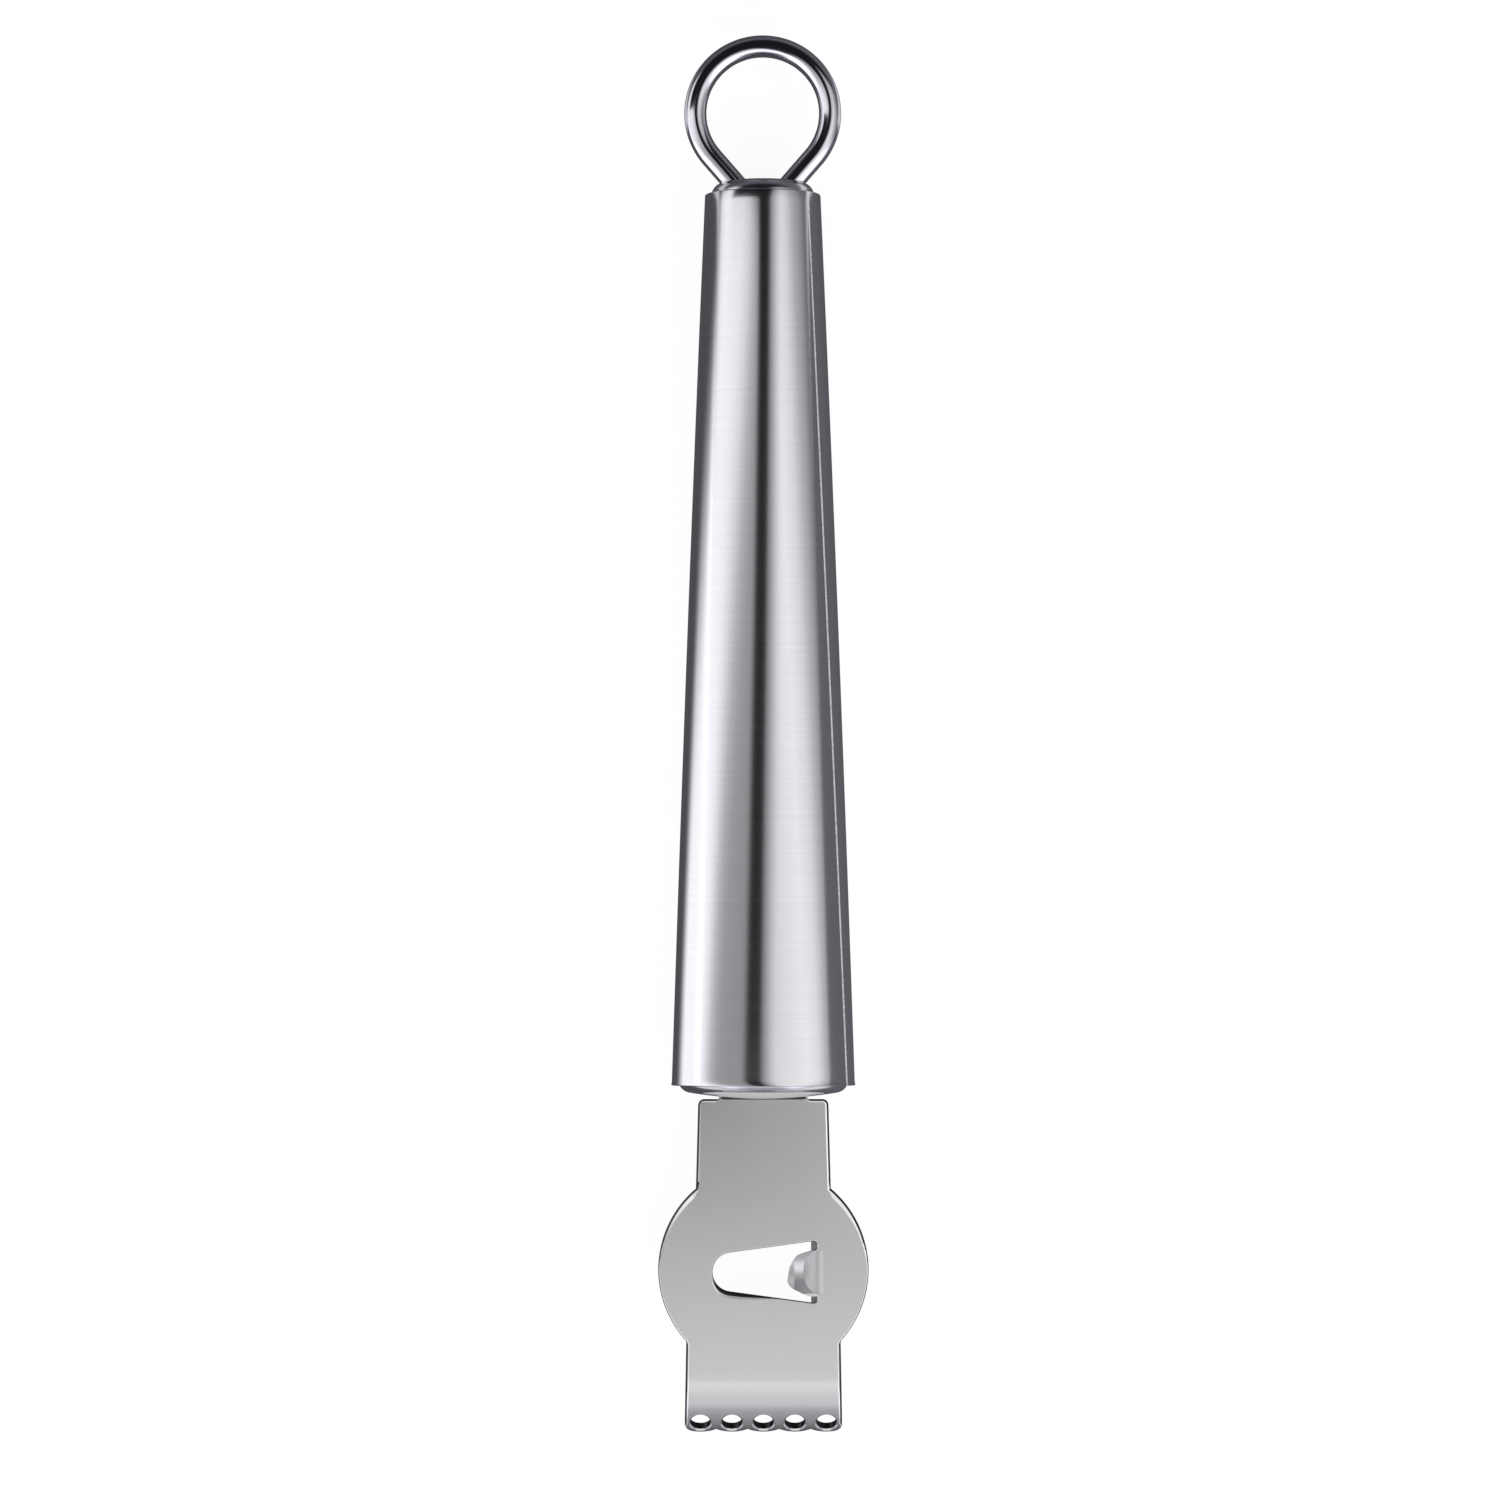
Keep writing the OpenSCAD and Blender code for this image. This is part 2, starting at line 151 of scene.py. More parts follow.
class KnifeSizes(PropertyGroup):
    drop: span("Drop", "Distance of the opening's middle below the disc's centre", 0.00035)
    back: span("Back", "Distance from the disc's centre to the round end's middle", 0.0042)
    end_r: span("End radius", "Radius of the opening's round end", 0.00263)
    flare: turn("Flare", "Angle between each long side and the middle line", 7.8)
    relief_reach: span("Relief reach", "Distance from the disc's centre to the slots", 0.00665)
    relief_r: span("Relief radius", "Radius of the relief slots' round ends", 0.0006)
    roll: span("Edge roll", "Width of the rolled edge at the opening's lower left", 0.0008)
    groove_w: span("Groove width", "Width of the groove at the front face", 0.0058)
    groove_depth: span("Groove depth", "Depth of the groove below the front face", 0.0022)
    lip_t: span("Lip thickness", "Thickness of the pressed lip", 0.001)
    lip_length: span("Lip length", "How far the lip stands out from the slots", 0.0034)
    lip_bevel: span("Lip bevel", "Length of the bevel inside the lip", 0.0009)
    ramp_reach: span("Ramp reach", "Distance from the disc's centre to the ramp", 0.0076)
    ramp_angle: turn("Ramp angle", "Slope of the ramp", 45)


class Finishes(PropertyGroup):
    tube: tint("Tube", "Colour of the brushed handle", (0.735, 0.73, 0.765))
    cap: tint("Caps", "Colour of the polished caps", (0.735, 0.725, 0.765))
    wire: tint("Wire", "Colour of the polished loop", (0.72, 0.705, 0.76))
    blade: tint("Blade", "Colour of the satin blade", (0.64, 0.625, 0.625))
    ground: tint("Ground edges", "Colour of the blade's bevels", (0.86, 0.86, 0.86))
    # Pressed steel, its colour lightened above the blade's as a painted highlight for the ramp's
    # bright reflection
    pressed: tint("Pressed lip", "Colour of the channel knife's groove", (0.78, 0.77, 0.78))
    # Painted shade: near-black on the sheet's cut walls, its steep bevels and a line under the
    # blade cap, standing in for their shade and dark reflections
    painted_shade: tint("Painted edge shade", "Colour of the sheet's cut walls", (0.06, 0.057, 0.066))
    tube_rough: share("Tube roughness", "Roughness of the brushed handle", 0.16)
    blade_rough: share("Blade roughness", "Roughness of the satin blade", 0.27)


class StageSizes(PropertyGroup):
    camera_height: span("Camera height", "Height of the camera above the floor", 0.8449)
    camera_x: span("Camera x", "Sideways place of the camera", -0.00176)
    camera_y: span("Camera y", "Lengthwise place of the camera", -0.0024)
    camera_roll: turn("Camera roll", "Turn of the picture", -0.03)
    focal_pixels: FloatProperty(
        name="Focal length", description="Focal length in pixels of the picture", default=6200)


def groups(*names):
    """The scene's property groups of these names."""
    return [getattr(bpy.context.scene, "zester_" + name) for name in names]


def mm(*lengths):
    """Lengths in metres, as millimetres."""
    return [length * MM for length in lengths]


# Nodes


class Value:
    """A node's output that takes part in Python's arithmetic."""

    def __init__(self, tree, socket):
        self.tree = tree
        self.socket = socket

    def calc(self, operation, *values):
        return self.tree.math(operation, *values)

    def __add__(self, other):
        return self.calc("ADD", self, other)

    __radd__ = __add__

    def __sub__(self, other):
        return self.calc("SUBTRACT", self, other)

    def __rsub__(self, other):
        return self.calc("SUBTRACT", other, self)

    def __mul__(self, other):
        return self.calc("MULTIPLY", self, other)

    __rmul__ = __mul__

    def __truediv__(self, other):
        return self.calc("DIVIDE", self, other)

    def __rtruediv__(self, other):
        return self.calc("DIVIDE", other, self)

    def __abs__(self):
        return self.calc("ABSOLUTE", self)

    def __getitem__(self, axis):
        return self.tree.add("SeparateXYZ", {}, {0: self}, out=axis)


class Tree:
    """A node tree that is written as calls."""

    def __init__(self, tree):
        self.tree = tree
        self.prefix = "GeometryNode" if tree.bl_idname == "GeometryNodeTree" else "ShaderNode"

    def add(self, kind, settings=None, inputs=None, out=0):
        """Adds one node: its settings first, then its inputs, and gives one output."""
        for name in (kind, self.prefix + kind, "ShaderNode" + kind, "FunctionNode" + kind):
            if hasattr(bpy.types, name):
                node = self.tree.nodes.new(name)
                break
        for key, value in (settings or {}).items():
            if key == "stops":
                ramp = node.color_ramp.elements
                while len(ramp) < len(value):
                    ramp.new(0.5)
                for stop, (place, grey) in zip(ramp, value):
                    stop.position = place
                    stop.color = (grey, grey, grey, 1)
            else:
                setattr(node, key, value)
        for key, value in (inputs or {}).items():
            if isinstance(value, Value):
                self.tree.links.new(value.socket, node.inputs[key])
            else:
                node.inputs[key].default_value = value
        return Value(self, node.outputs[out]) if len(node.outputs) else None

    def math(self, operation, *values):
        """One step of arithmetic on numbers and outputs."""
        return self.add("Math", {"operation": operation}, dict(enumerate(values)))

    def ease(self, value, low, high, to_low=0.0, to_high=1.0):
        """A number that goes smoothly from one value to another."""
        return self.add(
            "MapRange", {"interpolation_type": "SMOOTHSTEP"},
            {0: value, 1: low, 2: high, 3: to_low, 4: to_high})


def shader_tree(material):
    """The empty node tree of a material, world or lamp."""
    material.use_nodes = True
    material.node_tree.nodes.clear()
    return Tree(material.node_tree)


def colour(values):
    """A colour with its alpha."""
    return (*values, 1.0)


def stretched_noise(tree, detail, tilt, stretch):
    """Noise in object coordinates, stretched along the brushing."""
    place = tree.add("TexCoord", out=3)
    leaning = tree.add("Mapping", {}, {0: place, 2: (tilt, 0, 0), 3: stretch})
    return tree.add("TexNoise", {}, {"Vector": leaning, "Scale": 1.0, "Detail": detail})


def steel(name, base, rough, swing, relief, noises, seam=None):
    """Steel whose colour and roughness swing, and whose surface stands out in metres, with
    layers of noise. A seam is a function of the tree, and gives a pale line where it is 1."""
    material = bpy.data.materials.new(name)
    tree = shader_tree(material)
    layers = [stretched_noise(tree, *noise) for noise in noises]
    mix = layers[0] - 0.5
    for layer in layers[1:]:
        mix = mix + (layer - 0.5)
    lift, metal = 1 + mix * swing, 1.0
    if seam:
        line = seam(tree)
        lift, metal = lift + WELD_LIFT * line, 1 - WELD_DULL * line
    shade = tree.add("VectorMath", {"operation": "SCALE"}, {0: base, 3: lift})
    bump = tree.add("Bump", {}, {"Strength": 1.0, "Distance": relief, "Height": mix})
    shader = tree.add("BsdfPrincipled", {}, {
        "Base Color": shade, "Metallic": metal, "Roughness": rough + mix * (2 * swing * rough),
        "Normal": bump})
    tree.add("OutputMaterial", {}, {"Surface": shader})
    return material


# Geometry nodes


def node_group(name, inputs):
    """A geometry node group with a geometry, named inputs and a material."""
    group = bpy.data.node_groups.new(name, "GeometryNodeTree")
    group.interface.new_socket("Geometry", in_out="INPUT", socket_type="NodeSocketGeometry")
    for label, kind in inputs:
        group.interface.new_socket(label, in_out="INPUT", socket_type="NodeSocket" + kind)
    group.interface.new_socket("Material", in_out="INPUT", socket_type="NodeSocketMaterial")
    group.interface.new_socket("Geometry", in_out="OUTPUT", socket_type="NodeSocketGeometry")
    tree = Tree(group)
    entry = group.nodes.new("NodeGroupInput")
    values = {s.name: Value(tree, s) for s in entry.outputs if s.name}
    return tree, values


def close_group(tree, geometry, values):
    """Ends a group in Realize Instances and Set Material."""
    whole = tree.add("RealizeInstances", {}, {0: geometry})
    painted = tree.add("SetMaterial", {}, {"Geometry": whole, "Material": values["Material"]})
    tree.add("NodeGroupOutput", {}, {0: painted})
    return tree.tree


def lathe_group():
    """Turns a closed section, whose points hold radius and height, round the Y axis."""
    tree, values = node_group("Turned on a lathe", [("Segments", "Int")])
    section, segments = values["Geometry"], values["Segments"]
    rows = tree.add("AttributeDomainSize", {"component": "MESH"}, {0: section}) + 1
    grid = tree.add("MeshGrid", {}, {"Vertices X": segments + 1, "Vertices Y": rows})
    index = tree.add("InputIndex")
    column = tree.math("FLOOR", (index + 0.5) / rows)
    row = index - column * rows
    row = tree.math("FLOOR", tree.math("MODULO", row + 0.5, rows - 1))
    place = tree.add(
        "SampleIndex", {"data_type": "FLOAT_VECTOR", "domain": "POINT"},
        {"Geometry": section, "Value": tree.add("InputPosition"), "Index": row})
    angle = column * (2 * pi) / segments
    east = tree.math("COSINE", angle) * place[0]
    north = tree.math("SINE", angle) * place[0]
    spot = tree.add("CombineXYZ", {}, {0: east, 1: place[1], 2: north})
    bent = tree.add("SetPosition", {}, {"Geometry": grid, "Position": spot})
    welded = tree.add("MergeByDistance", {}, {"Geometry": bent, "Distance": 1e-4})
    return close_group(tree, welded, values)


def sweep_group():
    """Draws round wire along a path."""
    tree, values = node_group("Bent wire", [("Wire diameter", "Float"), ("Sides", "Int")])
    path = tree.add("MeshToCurve", {}, {0: values["Geometry"]})
    ring = tree.add("CurvePrimitiveCircle", {"mode": "RADIUS"}, {
        "Resolution": values["Sides"], "Radius": values["Wire diameter"] / 2})
    wire = tree.add("CurveToMesh", {}, {"Curve": path, "Profile Curve": ring, "Fill Caps": True})
    return close_group(tree, wire, values)


def row_group():
    """Repeats a shape in a centred row along X."""
    tree, values = node_group("Row of holes", [("Count", "Int"), ("Pitch", "Float")])
    count, pitch = values["Count"], values["Pitch"]
    start = tree.add("CombineXYZ", {}, {0: (1 - count) * pitch / 2})
    step = tree.add("CombineXYZ", {}, {0: pitch})
    line = tree.add("MeshLine", {}, {"Count": count, "Start Location": start, "Offset": step})
    row = tree.add("InstanceOnPoints", {}, {"Points": line, "Instance": values["Geometry"]})
    return close_group(tree, row, values)


def run_group(obj, group, **sizes):
    """Runs a node group on an object and keeps the result as a plain mesh."""
    modifier = obj.modifiers.new("Nodes", "NODES")
    modifier.node_group = group
    for item in group.interface.items_tree:
        if item.in_out == "INPUT" and item.name.replace(" ", "_").lower() in sizes:
            modifier[item.identifier] = sizes[item.name.replace(" ", "_").lower()]
    return bake(obj)


def bake(obj):
    """Replaces an object's mesh and modifiers by its finished mesh."""
    bpy.context.view_layer.update()
    graph = bpy.context.evaluated_depsgraph_get()
    mesh = bpy.data.meshes.new_from_object(obj.evaluated_get(graph))
    obj.modifiers.clear()
    old = obj.data
    obj.data = mesh
    bpy.data.meshes.remove(old)
    return obj


# Mesh helpers


def new_object(name, verts, edges=(), faces=()):
    """A mesh object from lists of points, edges and faces."""
    mesh = bpy.data.meshes.new(name)
    mesh.from_pydata([tuple(v) for v in verts], list(edges), list(faces))
    obj = bpy.data.objects.new(name, mesh)
    bpy.context.scene.collection.objects.link(obj)
    return obj


def tidy(obj, distance=1e-4):
    """Merges doubles and turns every face outwards."""
    work = bmesh.new()
    work.from_mesh(obj.data)
    bmesh.ops.remove_doubles(work, verts=work.verts, dist=distance)
    bmesh.ops.dissolve_degenerate(work, dist=1e-6, edges=work.edges)
    loose = [edge for edge in work.edges if not edge.link_faces]
    bmesh.ops.delete(work, geom=loose, context="EDGES")
    bmesh.ops.recalc_face_normals(work, faces=work.faces)
    work.to_mesh(obj.data)
    open_edges = sum(1 for e in work.edges if not e.is_manifold)
    work.free()
    if open_edges:
        raise RuntimeError(f"{obj.name} has {open_edges} open edges")
    return obj


def turned(name, section, segments, material):
    """A turned solid from a closed section of (radius, height) points."""
    count = len(section)
    points = [(r, h, 0) for r, h in section]
    obj = new_object(name, points, [(i, (i + 1) % count) for i in range(count)])
    return tidy(run_group(obj, lathe_group(), segments=segments, material=material))


def prism(name, outline, low, high, axes=(0, 1, 2)):
    """An extruded polygon. Axes gives the directions of its outline and of its depth."""
    count = len(outline)
    verts = []
    for depth in (low, high):
        for point in outline:
            spot = [0.0, 0.0, 0.0]
            spot[axes[0]], spot[axes[1]], spot[axes[2]] = point[0], point[1], depth
            verts.append(spot)
    sides = [(i, (i + 1) % count, count + (i + 1) % count, count + i) for i in range(count)]
    ends = [tuple(range(count)), tuple(range(2 * count - 1, count - 1, -1))]
    return tidy(new_object(name, verts, (), sides + ends))


def arc(centre, r, start, end, steps):
    """Points of an arc, with its angles in radians."""
    return [(centre[0] + r * cos(start + (end - start) * i / steps),
             centre[1] + r * sin(start + (end - start) * i / steps)) for i in range(steps + 1)]


def circle(centre, r, count):
    """Points of a whole circle."""
    return arc(centre, r, 0, 2 * pi, count)[:-1]


def between(start, end, steps):
    """The points that divide a straight line into steps, without its ends."""
    return [(start[0] + (end[0] - start[0]) * i / steps, start[1] + (end[1] - start[1]) * i / steps)
            for i in range(1, steps)]


def smooth(part):
    """A share from 0 to 1, with soft ends."""
    return part * part * (3 - 2 * part)


def combine(obj, tool, operation):
    """Cuts a tool from a solid, joins it or keeps what both share. The tool goes."""
    modifier = obj.modifiers.new("Combine", "BOOLEAN")
    modifier.operation = operation
    modifier.solver = "EXACT"
    modifier.object = tool
    bake(obj)
    bpy.data.objects.remove(tool)
    return tidy(obj, 1e-5)


def rest_matrix():
    """Lays the tool, drawn in millimetres along its own axis, on its handle."""
    handle, caps, loop, blade = groups("handle", "caps", "loop", "blade")
    tilt = atan((handle.wide_d - handle.narrow_d) / 2 / handle.length)
    ring_top = handle.length + caps.loop_rise + loop.stand + loop.ring_d / 2
    top_end = ring_top * cos(tilt) + loop.wire_d / 2
    drop = blade.sheet / 2 - blade.curl_r * (1 - cos(blade.curl_angle))
    reach = (caps.blade_rise + blade.fit + blade.curl_reach
             + blade.curl_r * sin(blade.curl_angle))
    tip_end = drop * sin(tilt) - reach * cos(tilt)
    place = Matrix.Translation((0, -(top_end + tip_end) / 2, handle.wide_d / 2 * cos(tilt)))
    return place @ Matrix.Rotation(-tilt, 4, "X") @ Matrix.Scale(1 / MM, 4)


def part_finishes(mesh):
    """Keeps the shading of each finish apart along the edges where two of them meet."""
    work = bmesh.new()
    work.from_mesh(mesh)
    for edge in work.edges:
        if len({face.material_index for face in edge.link_faces}) > 1:
            edge.smooth = False
    work.to_mesh(mesh)
    work.free()


def finish_piece(obj, name, node, sharp=30):
    """Lays a piece in its place, shades it and lets it stand for its node."""
    obj.name = name
    obj.data.name = name
    obj.data.transform(rest_matrix())
    obj.data.shade_smooth()
    obj.data.set_sharp_from_angle(angle=radians(sharp))
    part_finishes(obj.data)
    even = obj.modifiers.new("Even shading", "WEIGHTED_NORMAL")
    even.keep_sharp = True
    bake(obj)
    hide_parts(node)
    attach(obj, "root")
    return obj


# Handle, caps and loop


def tube_radius(handle, y):
    """Outer radius of the tube, in millimetres, at a distance from the wide rim."""
    part = y / (handle.length * MM)
    wide, narrow = mm(handle.wide_d / 2, handle.narrow_d / 2)
    return wide + (narrow - wide) * part + handle.bow * MM * 4 * part * (1 - part)


def cap_section(r, rise, crown_r, end_r, caps):
    """Closed half section of a cap, from its skirt over the crown to the axis and back."""
    shoulder_r, wall, depth = mm(caps.shoulder_r, caps.wall, caps.skirt)
    shoulder_x = r - shoulder_r
    shoulder_y = rise - crown_r + sqrt((crown_r - shoulder_r) ** 2 - shoulder_x ** 2)
    bend = acos(shoulder_x / (crown_r - shoulder_r))
    outer = arc((shoulder_x, shoulder_y), shoulder_r, 0, bend, 16)
    outer += arc((0, rise - crown_r), crown_r, bend, pi / 2, 24)[1:]
    inner = arc((0, rise - crown_r), crown_r - wall, pi / 2, bend, 24)
    inner += arc((shoulder_x, shoulder_y), shoulder_r - wall, bend, 0, 16)[1:]
    return outer + inner + [(end_r - wall, -depth), (end_r, -depth)]


def weld_line(tree):
    """A thin line along the handle's right side, where its sheet is welded."""
    inverse = rest_matrix().inverted()
    place = tree.add("Mapping", {}, {
        0: tree.add("TexCoord", out=3), 1: tuple(inverse.translation),
        2: tuple(inverse.to_euler()), 3: (MM, MM, MM)})
    angle = tree.math("ARCTAN2", place[0], place[2])
    at_rim, twist = 1.14, 0.0021  # radians from the top, at the wide rim and per millimetre
    away = abs(angle - (at_rim - twist * place[1]))
    beads = tree.add("TexNoise", {}, {"Vector": tree.add("TexCoord", out=3), "Scale": 2600.0})
    return tree.ease(away, 0.012, 0.026, 1.0, 0.0) * tree.ease(beads, 0.35, 0.6, 0.7, 1.0)


class ZESTER_OT_handle(Operator):
    """Turns the tapered tube of the handle"""

    bl_idname = "zester.handle"
    bl_label = "Build the brushed handle"

    def execute(self, context):
        handle, paint = groups("handle", "finishes")
        length, wall, ease, flare = mm(
            handle.length, handle.wall, handle.rim_ease, handle.rim_flare)
        tilt = atan((handle.wide_d - handle.narrow_d) / 2 / handle.length)
        steel_tube = steel("brushed_tube", paint.tube, paint.tube_rough, 0.08, 3e-6, [
            (3, tilt, (70, 9000, 70)), (2, tilt, (25, 2300, 25))], weld_line)
        flare_end = 0.8  # millimetres from the rim

        def outside(y):
            """Outer radius with the rim's flare."""
            return tube_radius(handle, y) + flare * max(0, 1 - y / flare_end) ** 2

        stations = [ease + (length - 2 * ease) * i / 96 for i in range(97)]
        stations[1:1] = [0.3, 0.5, 0.7, 0.9]  # places along the flare
        wide, narrow = outside(0), outside(length)
        section = [(wide - wall, 0)]
        section += arc((wide - ease, ease), ease, -pi / 2, 0, 4)[:-1]
        section += [(outside(y), y) for y in stations]
        section += arc((narrow - ease, length - ease), ease, 0, pi / 2, 4)[1:]
        section += [(tube_radius(handle, y) - wall, y)
                    for y in [length * i / 24 for i in range(24, 0, -1)]]
        obj = turned("tube", section, handle.segments, steel_tube)
        finish_piece(obj, "brushed_handle", "handle_tube")
        return {"FINISHED"}


class ZESTER_OT_caps(Operator):
    """Turns the domed caps and cuts their slot and holes"""

    bl_idname = "zester.caps"
    bl_label = "Build the two end caps"

    def execute(self, context):
        handle, caps, blade, paint = groups("handle", "caps", "blade", "finishes")
        polished = steel("polished_cap", paint.cap, 0.2, 0.06, 1.5e-7, [
            (2, 0, (900, 900, 900)), (2, 0, (120, 120, 120))])
        length, wall, depth, fit, slot_x, slot_z = mm(
            handle.length, handle.wall, caps.skirt, caps.fit, blade.tang_w / 2, blade.sheet / 2)
        clear, slot_x, slot_z = wall + fit, slot_x + fit, slot_z + fit
        r, end_r = tube_radius(handle, 0) - clear, tube_radius(handle, depth) - clear
        section = cap_section(r, *mm(caps.blade_rise, caps.blade_crown_r), end_r, caps)
        obj = turned("cap", section, handle.segments, polished)
        obj.data.transform(Matrix.Rotation(pi, 4, "Z"))
        slot = [(-slot_x, -slot_z), (slot_x, -slot_z), (slot_x, slot_z), (-slot_x, slot_z)]
        combine(obj, prism("slot", slot, -4, 1, (0, 2, 1)), "DIFFERENCE")
        finish_piece(obj, "blade_end_dome", "blade_end_cap")

        r = tube_radius(handle, length) - clear
        section = cap_section(r, *mm(caps.loop_rise, caps.loop_crown_r), r, caps)
        obj = turned("cap", section, handle.segments, polished)
        obj.data.transform(Matrix.Translation((0, length, 0)))
        for side in (-1, 1):
            combine(obj, leg_hole(side), "DIFFERENCE")
        finish_piece(obj, "loop_end_dome", "ring_end_cap")
        return {"FINISHED"}


def loop_legs():
    """The loop's centre, ring radius, leg angle and leg length, in millimetres."""
    handle, caps, loop = groups("handle", "caps", "loop")
    ring_r, stand, foot_x = mm(loop.ring_d / 2, loop.stand, loop.leg_spacing / 2)
    angle = atan2(stand, foot_x) - acos(ring_r / hypot(foot_x, stand))
    length = sqrt(foot_x ** 2 + stand ** 2 - ring_r ** 2) + loop.leg_reach * MM
    return (handle.length + caps.loop_rise) * MM + stand, ring_r, angle, length


def leg_hole(side):
    """The hole in the cap for one leg of the loop."""
    centre_y, ring_r, angle, length = loop_legs()
    loop, past_foot = groups("loop")[0], 0.3
    r = (loop.wire_d / 2 + loop.fit) * MM
    rod = prism("leg", circle((0, 0), r, 64), -length - past_foot, 0, (0, 2, 1))
    place = Matrix.Rotation(-angle, 4, "Z") @ Matrix.Translation((ring_r, 0, 0))
    rod.data.transform(Matrix.Translation((0, centre_y, 0)) @ place)
    if side < 0:
        rod.data.transform(Matrix.Scale(-1, 4, (1, 0, 0)))
        tidy(rod)
    return rod


class ZESTER_OT_loop(Operator):
    """Bends the round wire loop"""

    bl_idname = "zester.loop"
    bl_label = "Build the hanging loop"

    def execute(self, context):
        loop, paint = groups("loop", "finishes")
        drawn = steel("polished_wire", paint.wire, 0.1, 0.06, 1.5e-7, [
            (2, 0, (1500, 1500, 1500)), (2, 0, (150, 150, 150))])
        centre_y, ring_r, angle, length = loop_legs()
        path = arc((0, centre_y), ring_r, -angle, pi + angle, 120)
        foot = [(path[0][0] - sin(angle) * length * i / 8, path[0][1] - cos(angle) * length * i / 8)
                for i in range(8, 0, -1)]
        path = foot + path + [(-x, y) for x, y in reversed(foot)]
        obj = new_object("wire", [(x, y, 0) for x, y in path],
                         [(i, i + 1) for i in range(len(path) - 1)])
        run_group(obj, sweep_group(), wire_diameter=loop.wire_d * MM, sides=loop.sides,
                  material=drawn)
        finish_piece(tidy(obj), "wire_loop", "hanging_loop")
        return {"FINISHED"}


# Blade

# Its small lengths, in millimetres
TANG_EASE = 0.1  # bevel on the tang's front edges
SHOULDER_EASE = 0.15  # bevel in the corners between the tang and the shoulders
TIP_EASE = 0.2  # rounding of the tip's lobed end
BACK_EASE = 0.1  # bevel on all back edges
OPENING_EASE = 0.15  # rounding of the opening's front edge
BEVEL_GROWS = 1.2  # length of the disc's edge along which its bevel grows
BEVEL_ROUND = 0.28  # widest rounding of the disc's bevel
FULL_SLOPE = 0.15  # width of a bevel's flat part from which it has its whole slope
CORNER_ALONG, CORNER_ACROSS, CORNER_PAST = 1.2, 1.0, 0.06  # reach of the tip's round corners
ROLL_ANGLES = (0.1, 1.2)  # radians round the opening's end between which its roll grows
ROLL_LENGTH, ROLL_CLEAR = 7.1, 1  # where the roll fades out, and its distance from the slots
GRID, GRID_ALONG, GRID_ACROSS = 1.3, 0.42, 0.55  # spacing inside the sheet, and in its curl
RIM_GAP, CURL_GAP = 0.5, 0.22  # how near that grid comes to an edge, and in the curl
CAP_SHADOW_LINE = (-0.4, 0.05)  # the painted shadow line under the blade cap, measured past the shoulders
CAP_SHADOW_INSET, CAP_SHADOW_END = 0.6, 0.5  # distances of its grid and of its ends from the tang's sides

STEEP = radians(32)  # slope of an edge from which it takes the near-black painted shade
WALL = 0.3  # z of a face's normal under which the face counts as a wall
# The lip's nose, in shares of its length and of half its width
NOSE = ((1, 0.98), (0.5, 0.8), (0.3, 0.62), (0.1, 0.2), (0.02, -0.25), (0, -0.5), (0.14, -0.74),
        (0.5, -0.95))


def blade_half(blade):
    """The right half of the blade's outline, unrolled: x, distance from the shoulders,
    width of the front edge's bevel and how much of it is rounded."""
    ease, corner_r, disc_v, tang, bevel_side, bevel_top, pitch = mm(
        blade.edge_ease, blade.corner_r, blade.disc_reach, blade.tang_length, blade.disc_side,
        blade.disc_top, blade.hole_pitch)
    tang_x, top_x, base_x, disc_r, lower_x, tip_x = mm(
        blade.tang_w / 2, blade.stem_top_w / 2, blade.stem_base_w / 2, blade.disc_d / 2,
        blade.lower_w / 2, blade.tip_w / 2)
    end = unrolled_end(blade)
    points = [(tang_x, v, TANG_EASE, TANG_EASE)
              for v in [-tang, *(-TANG_EASE - i for i in range(8, -1, -2))]]
    points += [(tang_x, 0, SHOULDER_EASE, SHOULDER_EASE),
               (tang_x + 2 * SHOULDER_EASE, 0, ease, ease)]
    points += [(top_x - corner_r + corner_r * sin(a), corner_r - corner_r * cos(a), ease, ease)
               for a in [pi / 2 * i / 10 for i in range(11)]]
    join_v = disc_v - sqrt(disc_r ** 2 - base_x ** 2)
    points += [(x, v, ease, ease) for x, v in between((top_x, corner_r), (base_x, join_v), 12)]
    start, stop = asin(base_x / disc_r), pi - asin(lower_x / disc_r)
    for i in range(121):
        angle = start + (stop - start) * i / 120
        width = bevel_side + bevel_top * max(0, cos(angle))
        width = ease + (width - ease) * smooth(min(1, (angle - start) * disc_r / BEVEL_GROWS))
        points.append((disc_r * sin(angle), disc_v - disc_r * cos(angle), width,
                       min(width, BEVEL_ROUND)))
    side_v = disc_v - disc_r * cos(stop)
    last = scallop(blade, tip_x)
    for i in range(1, 25):
        v = side_v + (last - CORNER_ALONG - side_v) * i / 24
        points.append((lower_x + (tip_x - lower_x) * (v - side_v) / (end - side_v), v, ease, ease))
    side = points[-1]
    near = (tip_x - CORNER_ACROSS, scallop(blade, tip_x - CORNER_ACROSS))
    for i in range(1, 8):
        t = i / 8
        x = (1 - t) ** 2 * side[0] + 2 * t * (1 - t) * tip_x + t * t * near[0]
        v = (1 - t) ** 2 * side[1] + 2 * t * (1 - t) * (last + CORNER_PAST) + t * t * near[1]
        points.append((x, v, TIP_EASE, TIP_EASE))
    notches = [pitch * (i + 0.5) for i in range(blade.holes // 2)]
    stops = sorted(set([near[0] * i / 64 for i in range(65)] + notches), reverse=True)
    return points + [(x, scallop(blade, x), TIP_EASE, TIP_EASE) for x in stops]


def unrolled_end(blade):
    """Distance along the front face from the shoulders to the end of the tip."""
    return (blade.curl_reach + blade.curl_r * blade.curl_angle) * MM


def scallop(blade, x):
    """Where the lobed end of the tip is at a place across it."""
    pitch, notch = mm(blade.hole_pitch, blade.notch)
    r = (pitch ** 2 / 4 + notch ** 2) / (2 * notch)
    nearest = min(round(abs(x) / pitch), blade.holes // 2) * pitch
    return unrolled_end(blade) - r + sqrt(r * r - (abs(x) - nearest) ** 2)


